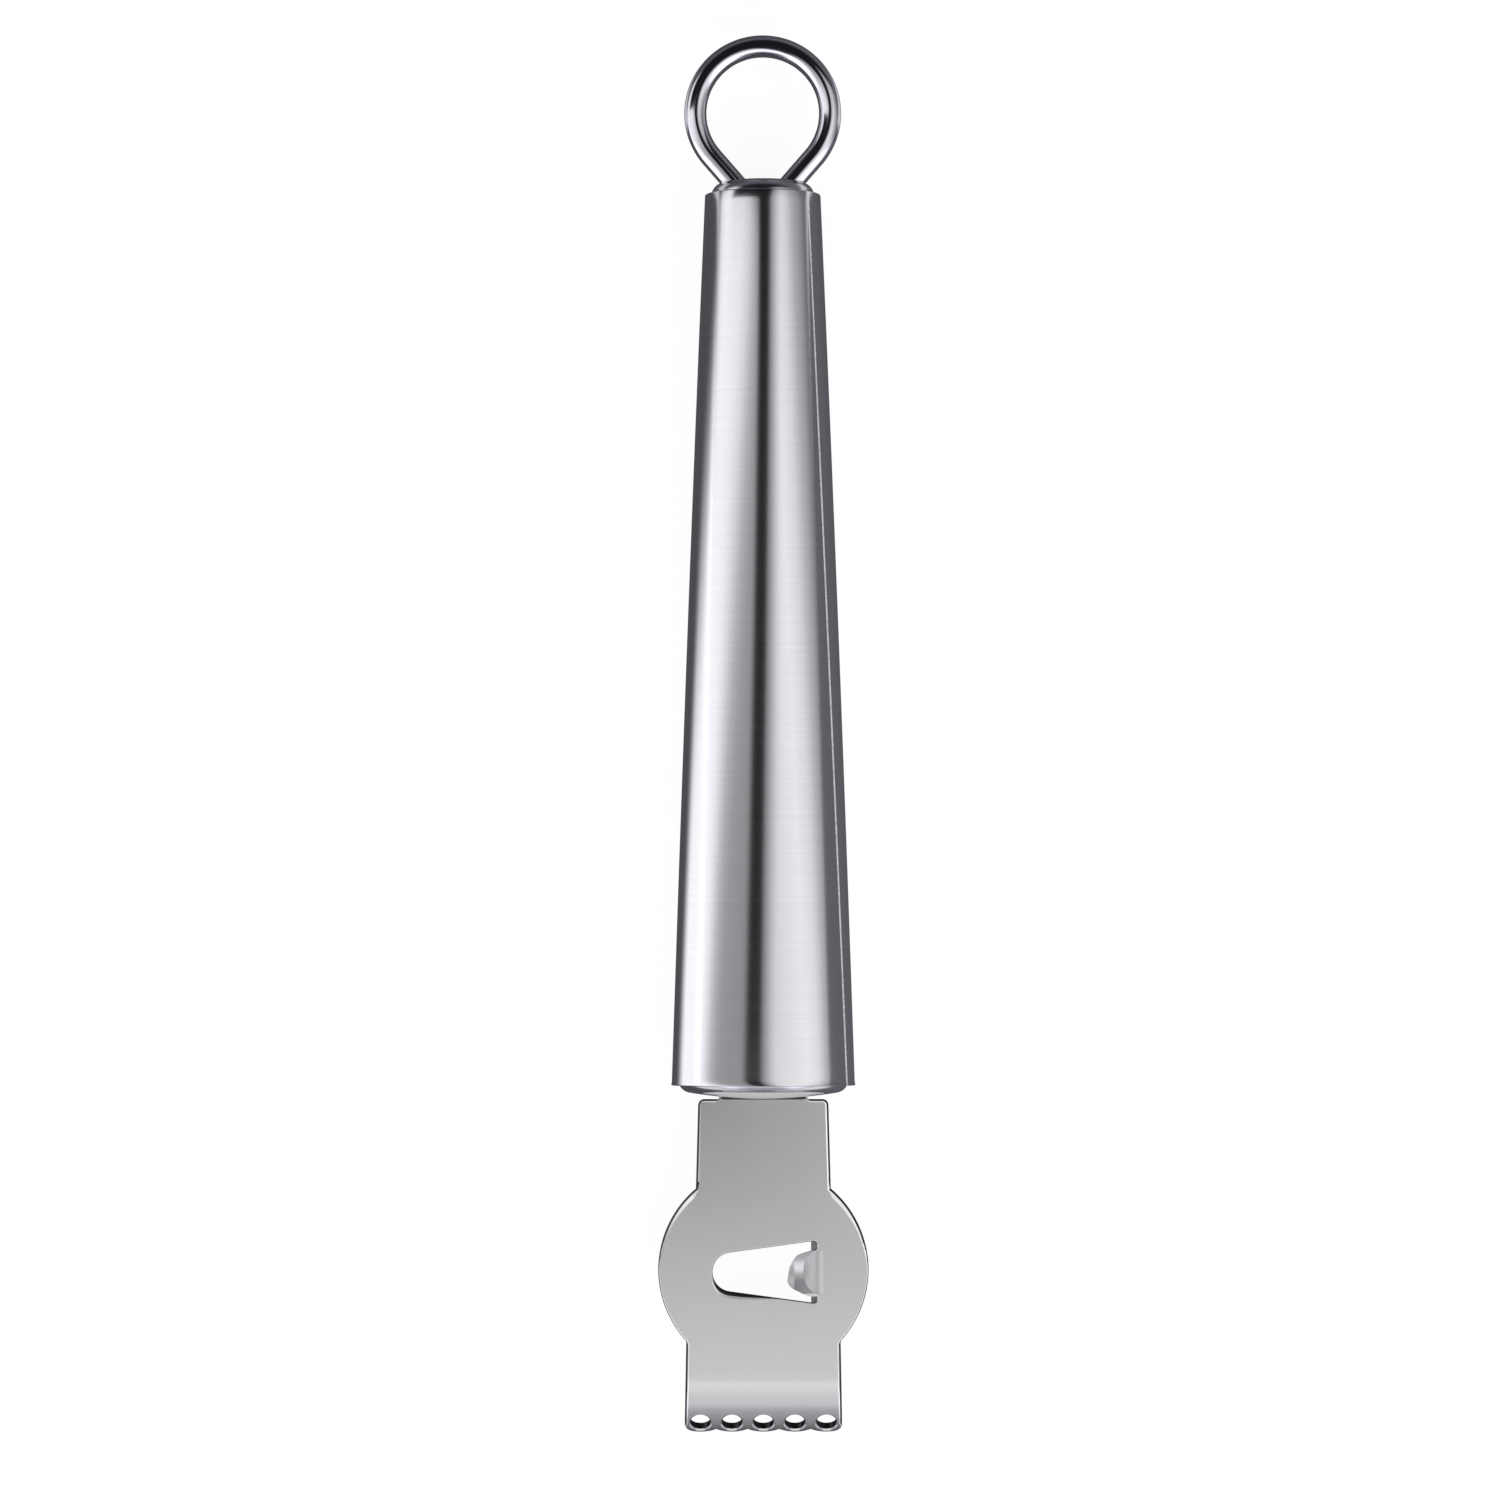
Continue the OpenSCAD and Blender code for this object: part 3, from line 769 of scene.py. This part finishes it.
def knife_opening(blade, knife):
    """The closed outline of the opening: x, distance from the shoulders, width of the
    rolled front edge and how much of it is rounded."""
    r, back, reach, relief_r, roll, middle_v = mm(
        knife.end_r, knife.back, knife.relief_reach, knife.relief_r, knife.roll,
        blade.disc_reach + knife.drop)
    offset, flare = relief_offset(knife), knife.flare
    corner = (reach - relief_r * sin(flare), -offset - relief_r * cos(flare))
    shape = arc((-back, 0), r, pi / 2 + flare, 3 * pi / 2 - flare, 40)
    shape += between(shape[-1], corner, 24)
    shape += arc((reach, -offset), relief_r, -pi / 2 - flare, pi / 2, 20)
    shape += between((reach, relief_r - offset), (reach, offset - relief_r), 8)
    shape += arc((reach, offset), relief_r, -pi / 2, pi / 2 + flare, 20)
    shape += between(shape[-1], shape[0], 24)
    grows, whole = ROLL_ANGLES
    points = []
    for x, y in shape:
        around = atan2(-y, -(x + back)) if x < -back else pi / 2 if y < 0 else -pi / 2
        part = min(1, max(0, (around - grows) / (whole - grows)))
        part *= min(1, max(0, 1 - (x + back) / ROLL_LENGTH)) if x <= reach - ROLL_CLEAR else 0
        width = OPENING_EASE + roll * smooth(part)
        points.append((x, middle_v - y, width, width))
    return points


def relief_offset(knife):
    """Distance of the relief slots' ends from the opening's middle line, in millimetres."""
    run = (knife.relief_reach + knife.back) * MM * tan(knife.flare)
    return (knife.end_r - knife.relief_r) * MM / cos(knife.flare) + run


def edge_profile(width, rounded, slope, steps):
    """Section of a front edge: distances from the wall and depths below the face."""
    lean = slope * min(1, (width - rounded) / FULL_SLOPE)
    r = rounded / (1 - sin(lean))
    flat_drop = (width - rounded) * tan(slope)
    angles = [lean + (pi / 2 - lean) * i / steps for i in range(steps + 1)]
    return [(width, 0)] + [(r * (1 - sin(a)), flat_drop + r * (cos(lean) - cos(a))) for a in angles]


def inset(points, widths):
    """Moves each point of a closed outline into the metal, by its own width."""
    count = len(points)
    area = sum(points[i][0] * points[(i + 1) % count][1] - points[(i + 1) % count][0] * points[i][1]
               for i in range(count))
    side = 1 if area > 0 else -1
    moved = []
    for i, (x, y) in enumerate(points):
        normals = []
        for a, b in ((points[i - 1], points[i]), (points[i], points[(i + 1) % count])):
            dx, dy = b[0] - a[0], b[1] - a[1]
            size = hypot(dx, dy)
            normals.append((-dy / size * side, dx / size * side))
        nx, ny = normals[0][0] + normals[1][0], normals[0][1] + normals[1][1]
        size = hypot(nx, ny)
        stretch = min(2.0, 2 / size)
        moved.append((x + nx / size * widths[i] * stretch, y + ny / size * widths[i] * stretch))
    return moved


def inside(points, loop):
    """Which of the points lie inside a closed loop."""
    x, y = points[:, 0], points[:, 1]
    result = np.zeros(len(points), bool)
    for i in range(len(loop)):
        (x1, y1), (x2, y2) = loop[i - 1], loop[i]
        if y1 != y2:
            crosses = (y1 > y) != (y2 > y)
            result ^= crosses & (x < (x2 - x1) * (y - y1) / (y2 - y1) + x1)
    return result


def face_of_sheet(blade, outer, holes):
    """Triangles that fill the outline round its holes, finer in the curl."""
    before_curl, past_end = 0.6, 0.7  # start of the finer grid, and of the first row
    curl, half, tang, slot = mm(
        blade.curl_reach, blade.disc_d / 2, blade.tang_length, blade.tang_w / 2)
    curl, v, slot, grid = curl - before_curl, past_end - tang, slot - CAP_SHADOW_INSET, []
    while v < unrolled_end(blade):
        along, wide = (GRID_ALONG, GRID_ACROSS) if v > curl else (GRID, GRID)
        across = int(half / wide)
        grid += [(half * i / across, v) for i in range(-across, across + 1)]
        v += along
    # Two extra rows give the painted shadow line under the cap its edges
    grid += [(slot * i / 24, v) for v in CAP_SHADOW_LINE for i in range(-24, 25)]
    grid = np.array(grid)
    keep = inside(grid, outer)
    for hole in holes:
        keep &= ~inside(grid, hole)
    rim = np.array(outer + [p for hole in holes for p in hole])
    gap = np.hypot(grid[:, None, 0] - rim[None, :, 0], grid[:, None, 1] - rim[None, :, 1]).min(1)
    keep &= gap > np.where(grid[:, 1] > curl, CURL_GAP, RIM_GAP)
    loops, edges, start = [outer, *holes], [], 0
    for loop in loops:
        edges += [(start + i, start + (i + 1) % len(loop)) for i in range(len(loop))]
        start += len(loop)
    coords = [Vector(p) for loop in loops for p in loop] + [Vector(p) for p in grid[keep]]
    verts, _, faces, *_ = delaunay_2d_cdt(coords, edges, [], 0, 1e-7)
    middles = np.array([[sum(verts[i][k] for i in f) / 3 for k in (0, 1)] for f in faces])
    good = inside(middles, outer)
    for hole in holes:
        good &= ~inside(middles, hole)
    return verts, [f for f, g in zip(faces, good) if g]


def paint_all(obj, index):
    """Gives every face of a mesh one of the sheet's finishes."""
    obj.data.polygons.foreach_set("material_index", [index] * len(obj.data.polygons))


def flat_sheet(blade, knife):
    """The unrolled blade as a closed solid, with its bevelled and rolled edges."""
    half = blade_half(blade)
    whole = half + [(-x, v, w, d) for x, v, w, d in reversed(half) if x > 1e-6]
    loops = [whole, knife_opening(blade, knife)]
    front, slot = mm(blade.sheet / 2, blade.tang_w / 2)
    steps = 7  # of each rounding
    verts, faces, inner_loops, back_loops, marks = [], [], [], [], []
    for index, loop in enumerate(loops):
        rim = [(p[0], p[1]) for p in loop]
        flip = -1 if index else 1
        profiles = [edge_profile(p[2], p[3], blade.disc_slope, steps) for p in loop]
        rings = []
        for k in range(steps + 2):
            spots = inset(rim, [flip * profile[k][0] for profile in profiles])
            rings.append([(x, -v, front - profile[k][1])
                          for (x, v), profile in zip(spots, profiles)])
        spots = inset(rim, [flip * BACK_EASE] * len(loop))
        rings.append([(x, -v, BACK_EASE - front) for x, v in rim])
        rings.append([(x, -v, -front) for x, v in spots])
        inner_loops.append([(p[0], -p[1]) for p in rings[0]])
        back_loops.append(spots)
        count, base = len(rim), len(verts)
        for ring in rings:
            verts += ring
        for k in range(len(rings) - 1):
            for i in range(count):
                a, b = base + k * count + i, base + k * count + (i + 1) % count
                faces.append((a, b, b + count, a + count))
                (near, high), (far, low) = profiles[i][k:k + 2] if k <= steps else ((0, 0), (0, 1))
                steep = atan2(low - high, near - far) > STEEP
                # Steep bevels take the near-black painted shade; gentler ones take the ground
                # finish, or on the opening the pressed one, lightened as a painted highlight
                marks.append(PAINTED_SHADE if steep else PRESSED_HIGHLIGHT if index else GROUND)
    for outlines, z in ((inner_loops, front), (back_loops, -front)):
        spots, triangles = face_of_sheet(blade, outlines[0], outlines[1:])
        base = len(verts)
        verts += [(p[0], -p[1], z) for p in spots]
        faces += [tuple(base + i for i in f) for f in triangles]
        for f in triangles:
            x, v = (sum(spots[i][k] for i in f) / len(f) for k in (0, 1))
            # A strip of the front face just under the cap takes the near-black painted shade, as
            # the cap's shadow line
            in_cap_shadow = z > 0 and abs(x) < slot - CAP_SHADOW_END and CAP_SHADOW_LINE[0] < v < CAP_SHADOW_LINE[1]
            marks.append(PAINTED_SHADE if in_cap_shadow else 0)
    obj = new_object("sheet", verts, (), faces)
    obj.data.polygons.foreach_set("material_index", marks)
    return tidy(obj, 2e-4)


def curve_through(points, steps):
    """A smooth open curve through points."""
    result = []
    ends = [points[0], *points, points[-1]]
    for i in range(1, len(ends) - 2):
        p0, p1, p2, p3 = ends[i - 1:i + 3]
        for k in range(steps):
            t = k / steps
            result.append(tuple(
                0.5 * (2 * p1[j] + (p2[j] - p0[j]) * t
                       + (2 * p0[j] - 5 * p1[j] + 4 * p2[j] - p3[j]) * t * t
                       + (3 * p1[j] - p0[j] - 3 * p2[j] + p3[j]) * t ** 3) for j in (0, 1)))
    return result + [points[-1]]


def add_channel_knife(sheet, blade, knife):
    """Joins the pressed lip to the sheet and cuts its groove, about the opening's middle."""
    front, width, depth, lip_t, length, bevel = mm(
        blade.sheet / 2, knife.groove_w, knife.groove_depth, knife.lip_t, knife.lip_length,
        knife.lip_bevel)
    reach, relief_r, ramp, middle_v = mm(
        knife.relief_reach, knife.relief_r, knife.ramp_reach, blade.disc_reach + knife.drop)
    groove_r = (width ** 2 / 4 + depth ** 2) / (2 * depth)
    axis_z = front - depth + groove_r
    nose, half, root_y = reach - length, width / 2, relief_offset(knife) + relief_r
    far, low = ramp + 1, axis_z - groove_r - lip_t - 0.5
    slope, root_x = tan(knife.ramp_angle), reach + relief_r
    to_middle = Matrix.Translation((0, -middle_v, 0))
    blend, past, swell = 0.4, 1.3, 1.3  # the ramp's round top, its overrun, its underside's drop
    left, top, wide = -8, front + 12, 6  # sides of the room above the ramp
    overrun, cut = 0.5, 0.5 * lip_t  # reach of the bevel's cone before the nose, and its depth

    def above_ramp(drop):
        """Everything above the rounded ramp, or above its underside."""
        line, run = [], depth / slope + blend
        for i in range(19):
            part = past * i / 18
            line.append((ramp + blend - run * part,
                         front - depth * part ** 2 - drop * (1 + swell * part)))
        return prism("ramp", [(far + 1, line[0][1]), *line, (line[-1][0], low - 1),
                              (left, low - 1), (left, top), (far + 1, top)], -wide, wide, (0, 2, 1))

    nose_end = -1.12 * half  # a little past the groove's side
    nose_line = curve_through([*((nose + length * along, half * across) for along, across in NOSE),
                               (reach - relief_r, nose_end)], 8)
    outline = [(far, root_y), (root_x, root_y), (root_x, half), *nose_line,
               (root_x, nose_end), (root_x, -root_y), (far, -root_y)]
    bar = circle((0, axis_z), groove_r + lip_t, 160)
    lip = prism("lip", outline, low, front)
    # A small web, seen from the side, joins the lip's root to the sheet behind the slots
    start = reach - 0.25
    web = [(start, front - 1.5), (root_x + 0.015, front), (root_x + 0.05, front - 0.3),
           (root_x + 0.4, front - 0.3), (root_x + 0.4, 0.05 - front), (root_x - 0.1, 0.05 - front),
           (start, front - 1.75)]
    combine(lip, prism("bar", bar, nose - 1, far, (1, 2, 0)), "INTERSECT")
    combine(lip, above_ramp(lip_t), "INTERSECT")
    combine(lip, prism("web", web, -root_y - 0.05, root_y + 0.05, (0, 2, 1)), "UNION")
    cone_r = groove_r + (bevel + overrun) * cut / bevel
    cone = prism("cone", circle((0, 0), 1, 160), 0, 1, (1, 2, 0))
    for vertex in cone.data.vertices:
        x, r = (nose - overrun, cone_r) if vertex.co.x < 0.5 else (nose + bevel, groove_r)
        vertex.co = (x, vertex.co.y * r, axis_z + vertex.co.z * r)
    combine(lip, cone, "DIFFERENCE")
    lip.data.transform(to_middle)
    # The lip and groove take the pressed finish, lightened as a painted highlight
    paint_all(lip, PRESSED_HIGHLIGHT)
    combine(sheet, lip, "UNION")
    groove = prism("groove", circle((0, axis_z), groove_r, 160), nose - 1, far, (1, 2, 0))
    combine(groove, above_ramp(0), "INTERSECT")
    groove.data.transform(to_middle)
    paint_all(groove, PRESSED_HIGHLIGHT)
    return combine(sheet, groove, "DIFFERENCE")


def curl_tip(obj, blade):
    """Bends everything past the curl's start round the curl."""
    start, r, front = mm(blade.curl_reach, blade.curl_r, blade.sheet / 2)
    for vertex in obj.data.vertices:
        x, y, z = vertex.co
        if -y > start:
            angle = (-y - start) / r
            reach = r - (front - z)
            vertex.co = (x, -start - reach * sin(angle), front - r + reach * cos(angle))
    return obj


class ZESTER_OT_blade(Operator):
    """Cuts, presses and curls the blade's sheet"""

    bl_idname = "zester.blade"
    bl_label = "Build the stamped blade"

    def execute(self, context):
        blade, knife, caps, paint = groups("blade", "knife", "caps", "finishes")
        sheet = flat_sheet(blade, knife)
        for finish in (
                ("satin_sheet", paint.blade, paint.blade_rough, 0.03, 5e-8,
                 [(3, 0, (2600, 700, 1500)), (2, 0, (160, 90, 160))]),
                ("ground_edge", paint.ground, 0.2, 0.05, 2e-7, [(2, 0, (2000, 2000, 2000))]),
                # The pressed finish is paler than the blade's steel as a painted highlight
                ("pressed_steel", paint.pressed, 0.4, 0.05, 2e-7, [(2, 0, (1800, 900, 1800))]),
                # Near-black painted shade for the cut walls and steep bevels
                ("sheared_edge", paint.painted_shade, 0.3, 0.08, 2e-7, [(2, 0, (2500, 2500, 900))])):
            sheet.data.materials.append(steel(*finish))
        satin = sheet.data.materials[0]
        r, ease, front, pitch, land = mm(
            blade.hole_d / 2, blade.hole_ease, blade.sheet / 2, blade.hole_pitch, blade.hole_land)
        low, high = -2, front + ease
        drill = [(0, low), (r, low), (r, front - ease), (r + 2 * ease, high), (0, high)]
        cutter = turned("drill", drill, 64, satin)
        cutter.data.transform(Matrix.Rotation(pi / 2, 4, "X"))
        run_group(cutter, row_group(), count=blade.holes, pitch=pitch, material=satin)
        cutter.data.transform(Matrix.Translation((0, land + r - unrolled_end(blade), 0)))
        for face in cutter.data.polygons:
            # The holes' walls take the near-black painted shade, their countersinks the ground
            # finish
            face.material_index = PAINTED_SHADE if abs(face.normal.z) < WALL else GROUND
        combine(sheet, tidy(cutter), "DIFFERENCE")
        add_channel_knife(sheet, blade, knife)
        curl_tip(sheet, blade)
        sheet.data.transform(Matrix.Translation((0, -(caps.blade_rise + blade.fit) * MM, 0)))
        finish_piece(sheet, "stamped_blade", "zester_blade", sharp=24)
        return {"FINISHED"}


# Stage

# In the functions of brightness, places are in metres, and an ease goes from its first number
# to its second


def graded(tree, value, stops):
    """A brightness read from stops of (place, brightness), with places from 0 to 1."""
    return tree.add("ValToRGB", {"stops": stops}, {0: value})


def floor_glow(tree):
    """How bright the floor looks in the steel: bright on the left, dark near the tool."""
    place = tree.add("TexCoord", out=3)
    x, y = place[0], place[1]
    left = tree.ease(0 - x - 1.46 * y, -0.055, 0.085) * tree.ease(0 - x, 0.024, 0.042)
    left = left * tree.ease(y, -0.054, -0.047) * tree.ease(y, 0.08, 0.07)
    away = abs(x)
    outside = tree.ease(away, 0.0145, 0.018)
    past_end = tree.ease(y, 0.078, 0.083) * outside * tree.ease(y, 0.1, 0.09)
    beside_blade = tree.ease(away, 0.035, 0.05) * tree.ease(0 - y, 0.05, 0.06)
    return tree.ease(x, 0, 0.03, 0.09, 0.15) + 1.2 * left + 0.6 * past_end + 0.8 * beside_blade


def left_glow(tree, x, y):
    """Brightness of the left softbox, whose inner edge slants away from the handle."""
    slanted = 1.9 * y - 1.98 * x - 0.027
    edge = tree.ease(0.29 * y - x, 0.0435, 0.0625)
    end = tree.math("MAXIMUM", tree.ease(y, 0.118, 0.112), tree.ease(0 - x, 0.14, 0.17))
    by_blade = 0.35 * tree.ease(0 - y, 0.055, 0.065) * tree.ease(0 - x, 0.15, 0.2)
    return by_blade + end * edge * graded(tree, slanted, [
        (0, 0.31), (0.12, 0.36), (0.19, 0.4), (0.25, 0.58), (0.3, 0.9), (0.36, 1.1), (0.42, 1.13),
        (0.55, 1.09), (1, 0.1)])


def right_glow(tree, x, y):
    """Brightness of the right softbox, which fades away from the handle."""
    inner = tree.math("MAXIMUM", 0.344 * y, -0.068 - 1.6 * y)
    from_edge = x - inner - 0.014
    edge = tree.ease(from_edge, -0.016, 0.041, 0.28, 1)
    start = tree.ease(from_edge, -0.018, -0.01)
    fade = 2.09 * x + 0.99 * y + 0.166
    return start * edge * graded(tree, fade, [
        (0.25, 0.9), (0.38, 1.09), (0.46, 0.9), (0.54, 0.5), (0.64, 0.23), (0.72, 0.04)])


def blade_glow(tree, x, y):
    """Brightness of the softbox over the blade, brightest over its curl."""
    return graded(tree, -0.155 - 3.45 * y, [
        (0, 0.52), (0.06, 0.53), (0.09, 0.6), (0.13, 0.9), (0.2, 1.05), (0.3, 1.17), (0.42, 1.0),
        (0.54, 0.62), (0.75, 0.42), (1, 0.4)])


def softbox(name, inner, outer, span_y, glow):
    """An area lamp between two points of the section across the handle, whose brightness
    follows a function of its own x and y."""
    across = Vector((outer[0] - inner[0], 0, outer[1] - inner[1]))
    centre = Vector(((inner[0] + outer[0]) / 2, sum(span_y) / 2, (inner[1] + outer[1]) / 2))
    lamp = bpy.data.lights.new(name, "AREA")
    lamp.shape = "RECTANGLE"
    lamp.size, lamp.size_y = across.length, span_y[1] - span_y[0]
    lamp.energy = pi * lamp.size * lamp.size_y
    tree = shader_tree(lamp)
    spot = tree.add("NewGeometry", out=0)
    light = tree.add("Emission", {}, {"Strength": glow(tree, spot[0], spot[1])})
    tree.add("OutputLight", {}, {0: light})
    along, across = Vector((0, 1, 0)), across.normalized()
    back = across.cross(along)
    if back.z < 0:
        along, back = -along, -back
    obj = bpy.data.objects.new(name, lamp)
    bpy.context.scene.collection.objects.link(obj)
    facing = Matrix((across, along, back)).transposed().to_4x4()
    obj.matrix_world = Matrix.Translation(centre) @ facing
    obj.visible_camera = False
    return obj


class ZESTER_OT_stage(Operator):
    """Adds the floor, the soft lights, the world and the camera"""

    bl_idname = "zester.stage"
    bl_label = "Set the stage"

    def execute(self, context):
        scene, stage = context.scene, groups("stage")[0]
        reach, low = 4, -2e-4  # half the floor's width, and its height under the handle
        floor = new_object(
            "floor", [(-reach, -reach, low), (reach, -reach, low), (reach, reach, low),
                      (-reach, reach, low)], (), [(0, 1, 2, 3)])
        pale = bpy.data.materials.new("pale_floor")
        tree = shader_tree(pale)
        camera_ray = tree.add("LightPath", out=0)
        shiny_ray = tree.add("LightPath", out=3)
        matt = tree.add("BsdfPrincipled", {}, {
            "Base Color": colour((0.8, 0.8, 0.8)), "Roughness": 0.9})
        white = tree.add("Emission", {}, {"Color": colour((1, 1, 1)), "Strength": 1.2})
        glow = floor_glow(tree)
        hue = tree.add("Mix", {"data_type": "RGBA"}, {
            0: tree.ease(glow, 0.2, 0.8), 6: colour(COOL), 7: colour((1, 1, 1))}, out=2)
        mirrored = tree.add("Emission", {}, {"Color": hue, "Strength": glow})
        shown = tree.add("MixShader", {}, {0: camera_ray * 0.75, 1: matt, 2: white})
        shown = tree.add("MixShader", {}, {0: shiny_ray, 1: shown, 2: mirrored})
        tree.add("OutputMaterial", {}, {"Surface": shown})
        floor.data.materials.append(pale)

        world = bpy.data.worlds.new("studio")
        scene.world = world
        tree = shader_tree(world)
        camera_ray = tree.add("LightPath", out=0)
        sky = tree.add("TexCoord", out=0)
        room = tree.ease(sky[2], 0.0, 0.6, 0.16, 0.012)
        front = tree.ease(0 - sky[1], 0.3, 0.75) * tree.ease(sky[2], -0.1, 0.6, 0.1, 0.5)
        corners = tree.ease(abs(sky[0]), 0.25, 0.5) * tree.ease(0 - sky[1], 0.15, 0.5)
        room = room + front + corners * tree.ease(sky[2], -0.1, 0.3, 0.0, 0.9)
        dim = tree.add("Background", {}, {"Color": colour(COOL), "Strength": room})
        white = tree.add("Background", {}, {"Strength": 1.0})
        shown = tree.add("MixShader", {}, {0: camera_ray, 1: dim, 2: white})
        tree.add("OutputWorld", {}, {"Surface": shown})

        softbox("left_softbox", (-0.02, 0.19), (-0.27, 0.0), (-0.12, 0.22), left_glow)
        softbox("right_softbox", (-0.015, 0.195), (0.235, 0.01), (-0.12, 0.16), right_glow)
        softbox("blade_softbox", (-0.13, 0.205), (0.13, 0.205), (-0.335, -0.045), blade_glow)

        lens = bpy.data.cameras.new("camera")
        lens.sensor_width = 36
        lens.lens = stage.focal_pixels / RENDER_SIZE * lens.sensor_width
        lens.clip_end = 20
        camera = bpy.data.objects.new("camera", lens)
        scene.collection.objects.link(camera)
        camera.location = (stage.camera_x, stage.camera_y, stage.camera_height)
        camera.rotation_euler = (0, 0, stage.camera_roll)
        scene.camera = camera
        scene.view_settings.view_transform = "Standard"
        return {"FINISHED"}


class ZESTER_PT_panel(Panel):
    """Lists the pieces, with their sizes and finishes"""

    bl_idname = "ZESTER_PT_panel"
    bl_label = "Citrus zester"
    bl_space_type = "VIEW_3D"
    bl_region_type = "UI"
    bl_category = "Zester"

    def draw(self, context):
        for kind in OPERATORS:
            self.layout.operator(kind.bl_idname)
        for name in GROUPS:
            box = self.layout.box()
            group = getattr(context.scene, name)
            for key in group.__annotations__:
                box.prop(group, key)


GROUPS = {
    "zester_handle": HandleSizes, "zester_caps": CapSizes, "zester_loop": LoopSizes,
    "zester_blade": BladeSizes, "zester_knife": KnifeSizes, "zester_finishes": Finishes,
    "zester_stage": StageSizes,
}
OPERATORS = (
    ZESTER_OT_stage, ZESTER_OT_handle, ZESTER_OT_caps, ZESTER_OT_loop, ZESTER_OT_blade)


def register():
    for kind in (*GROUPS.values(), *OPERATORS, ZESTER_PT_panel):
        bpy.utils.register_class(kind)
    for name, kind in GROUPS.items():
        setattr(bpy.types.Scene, name, PointerProperty(type=kind))


def unregister():
    for name in GROUPS:
        delattr(bpy.types.Scene, name)
    for kind in (ZESTER_PT_panel, *OPERATORS, *GROUPS.values()):
        bpy.utils.unregister_class(kind)


def main():
    register()
    for kind in OPERATORS:
        category, name = kind.bl_idname.split(".")
        getattr(getattr(bpy.ops, category), name)()


if __name__ == "__main__":
    main()
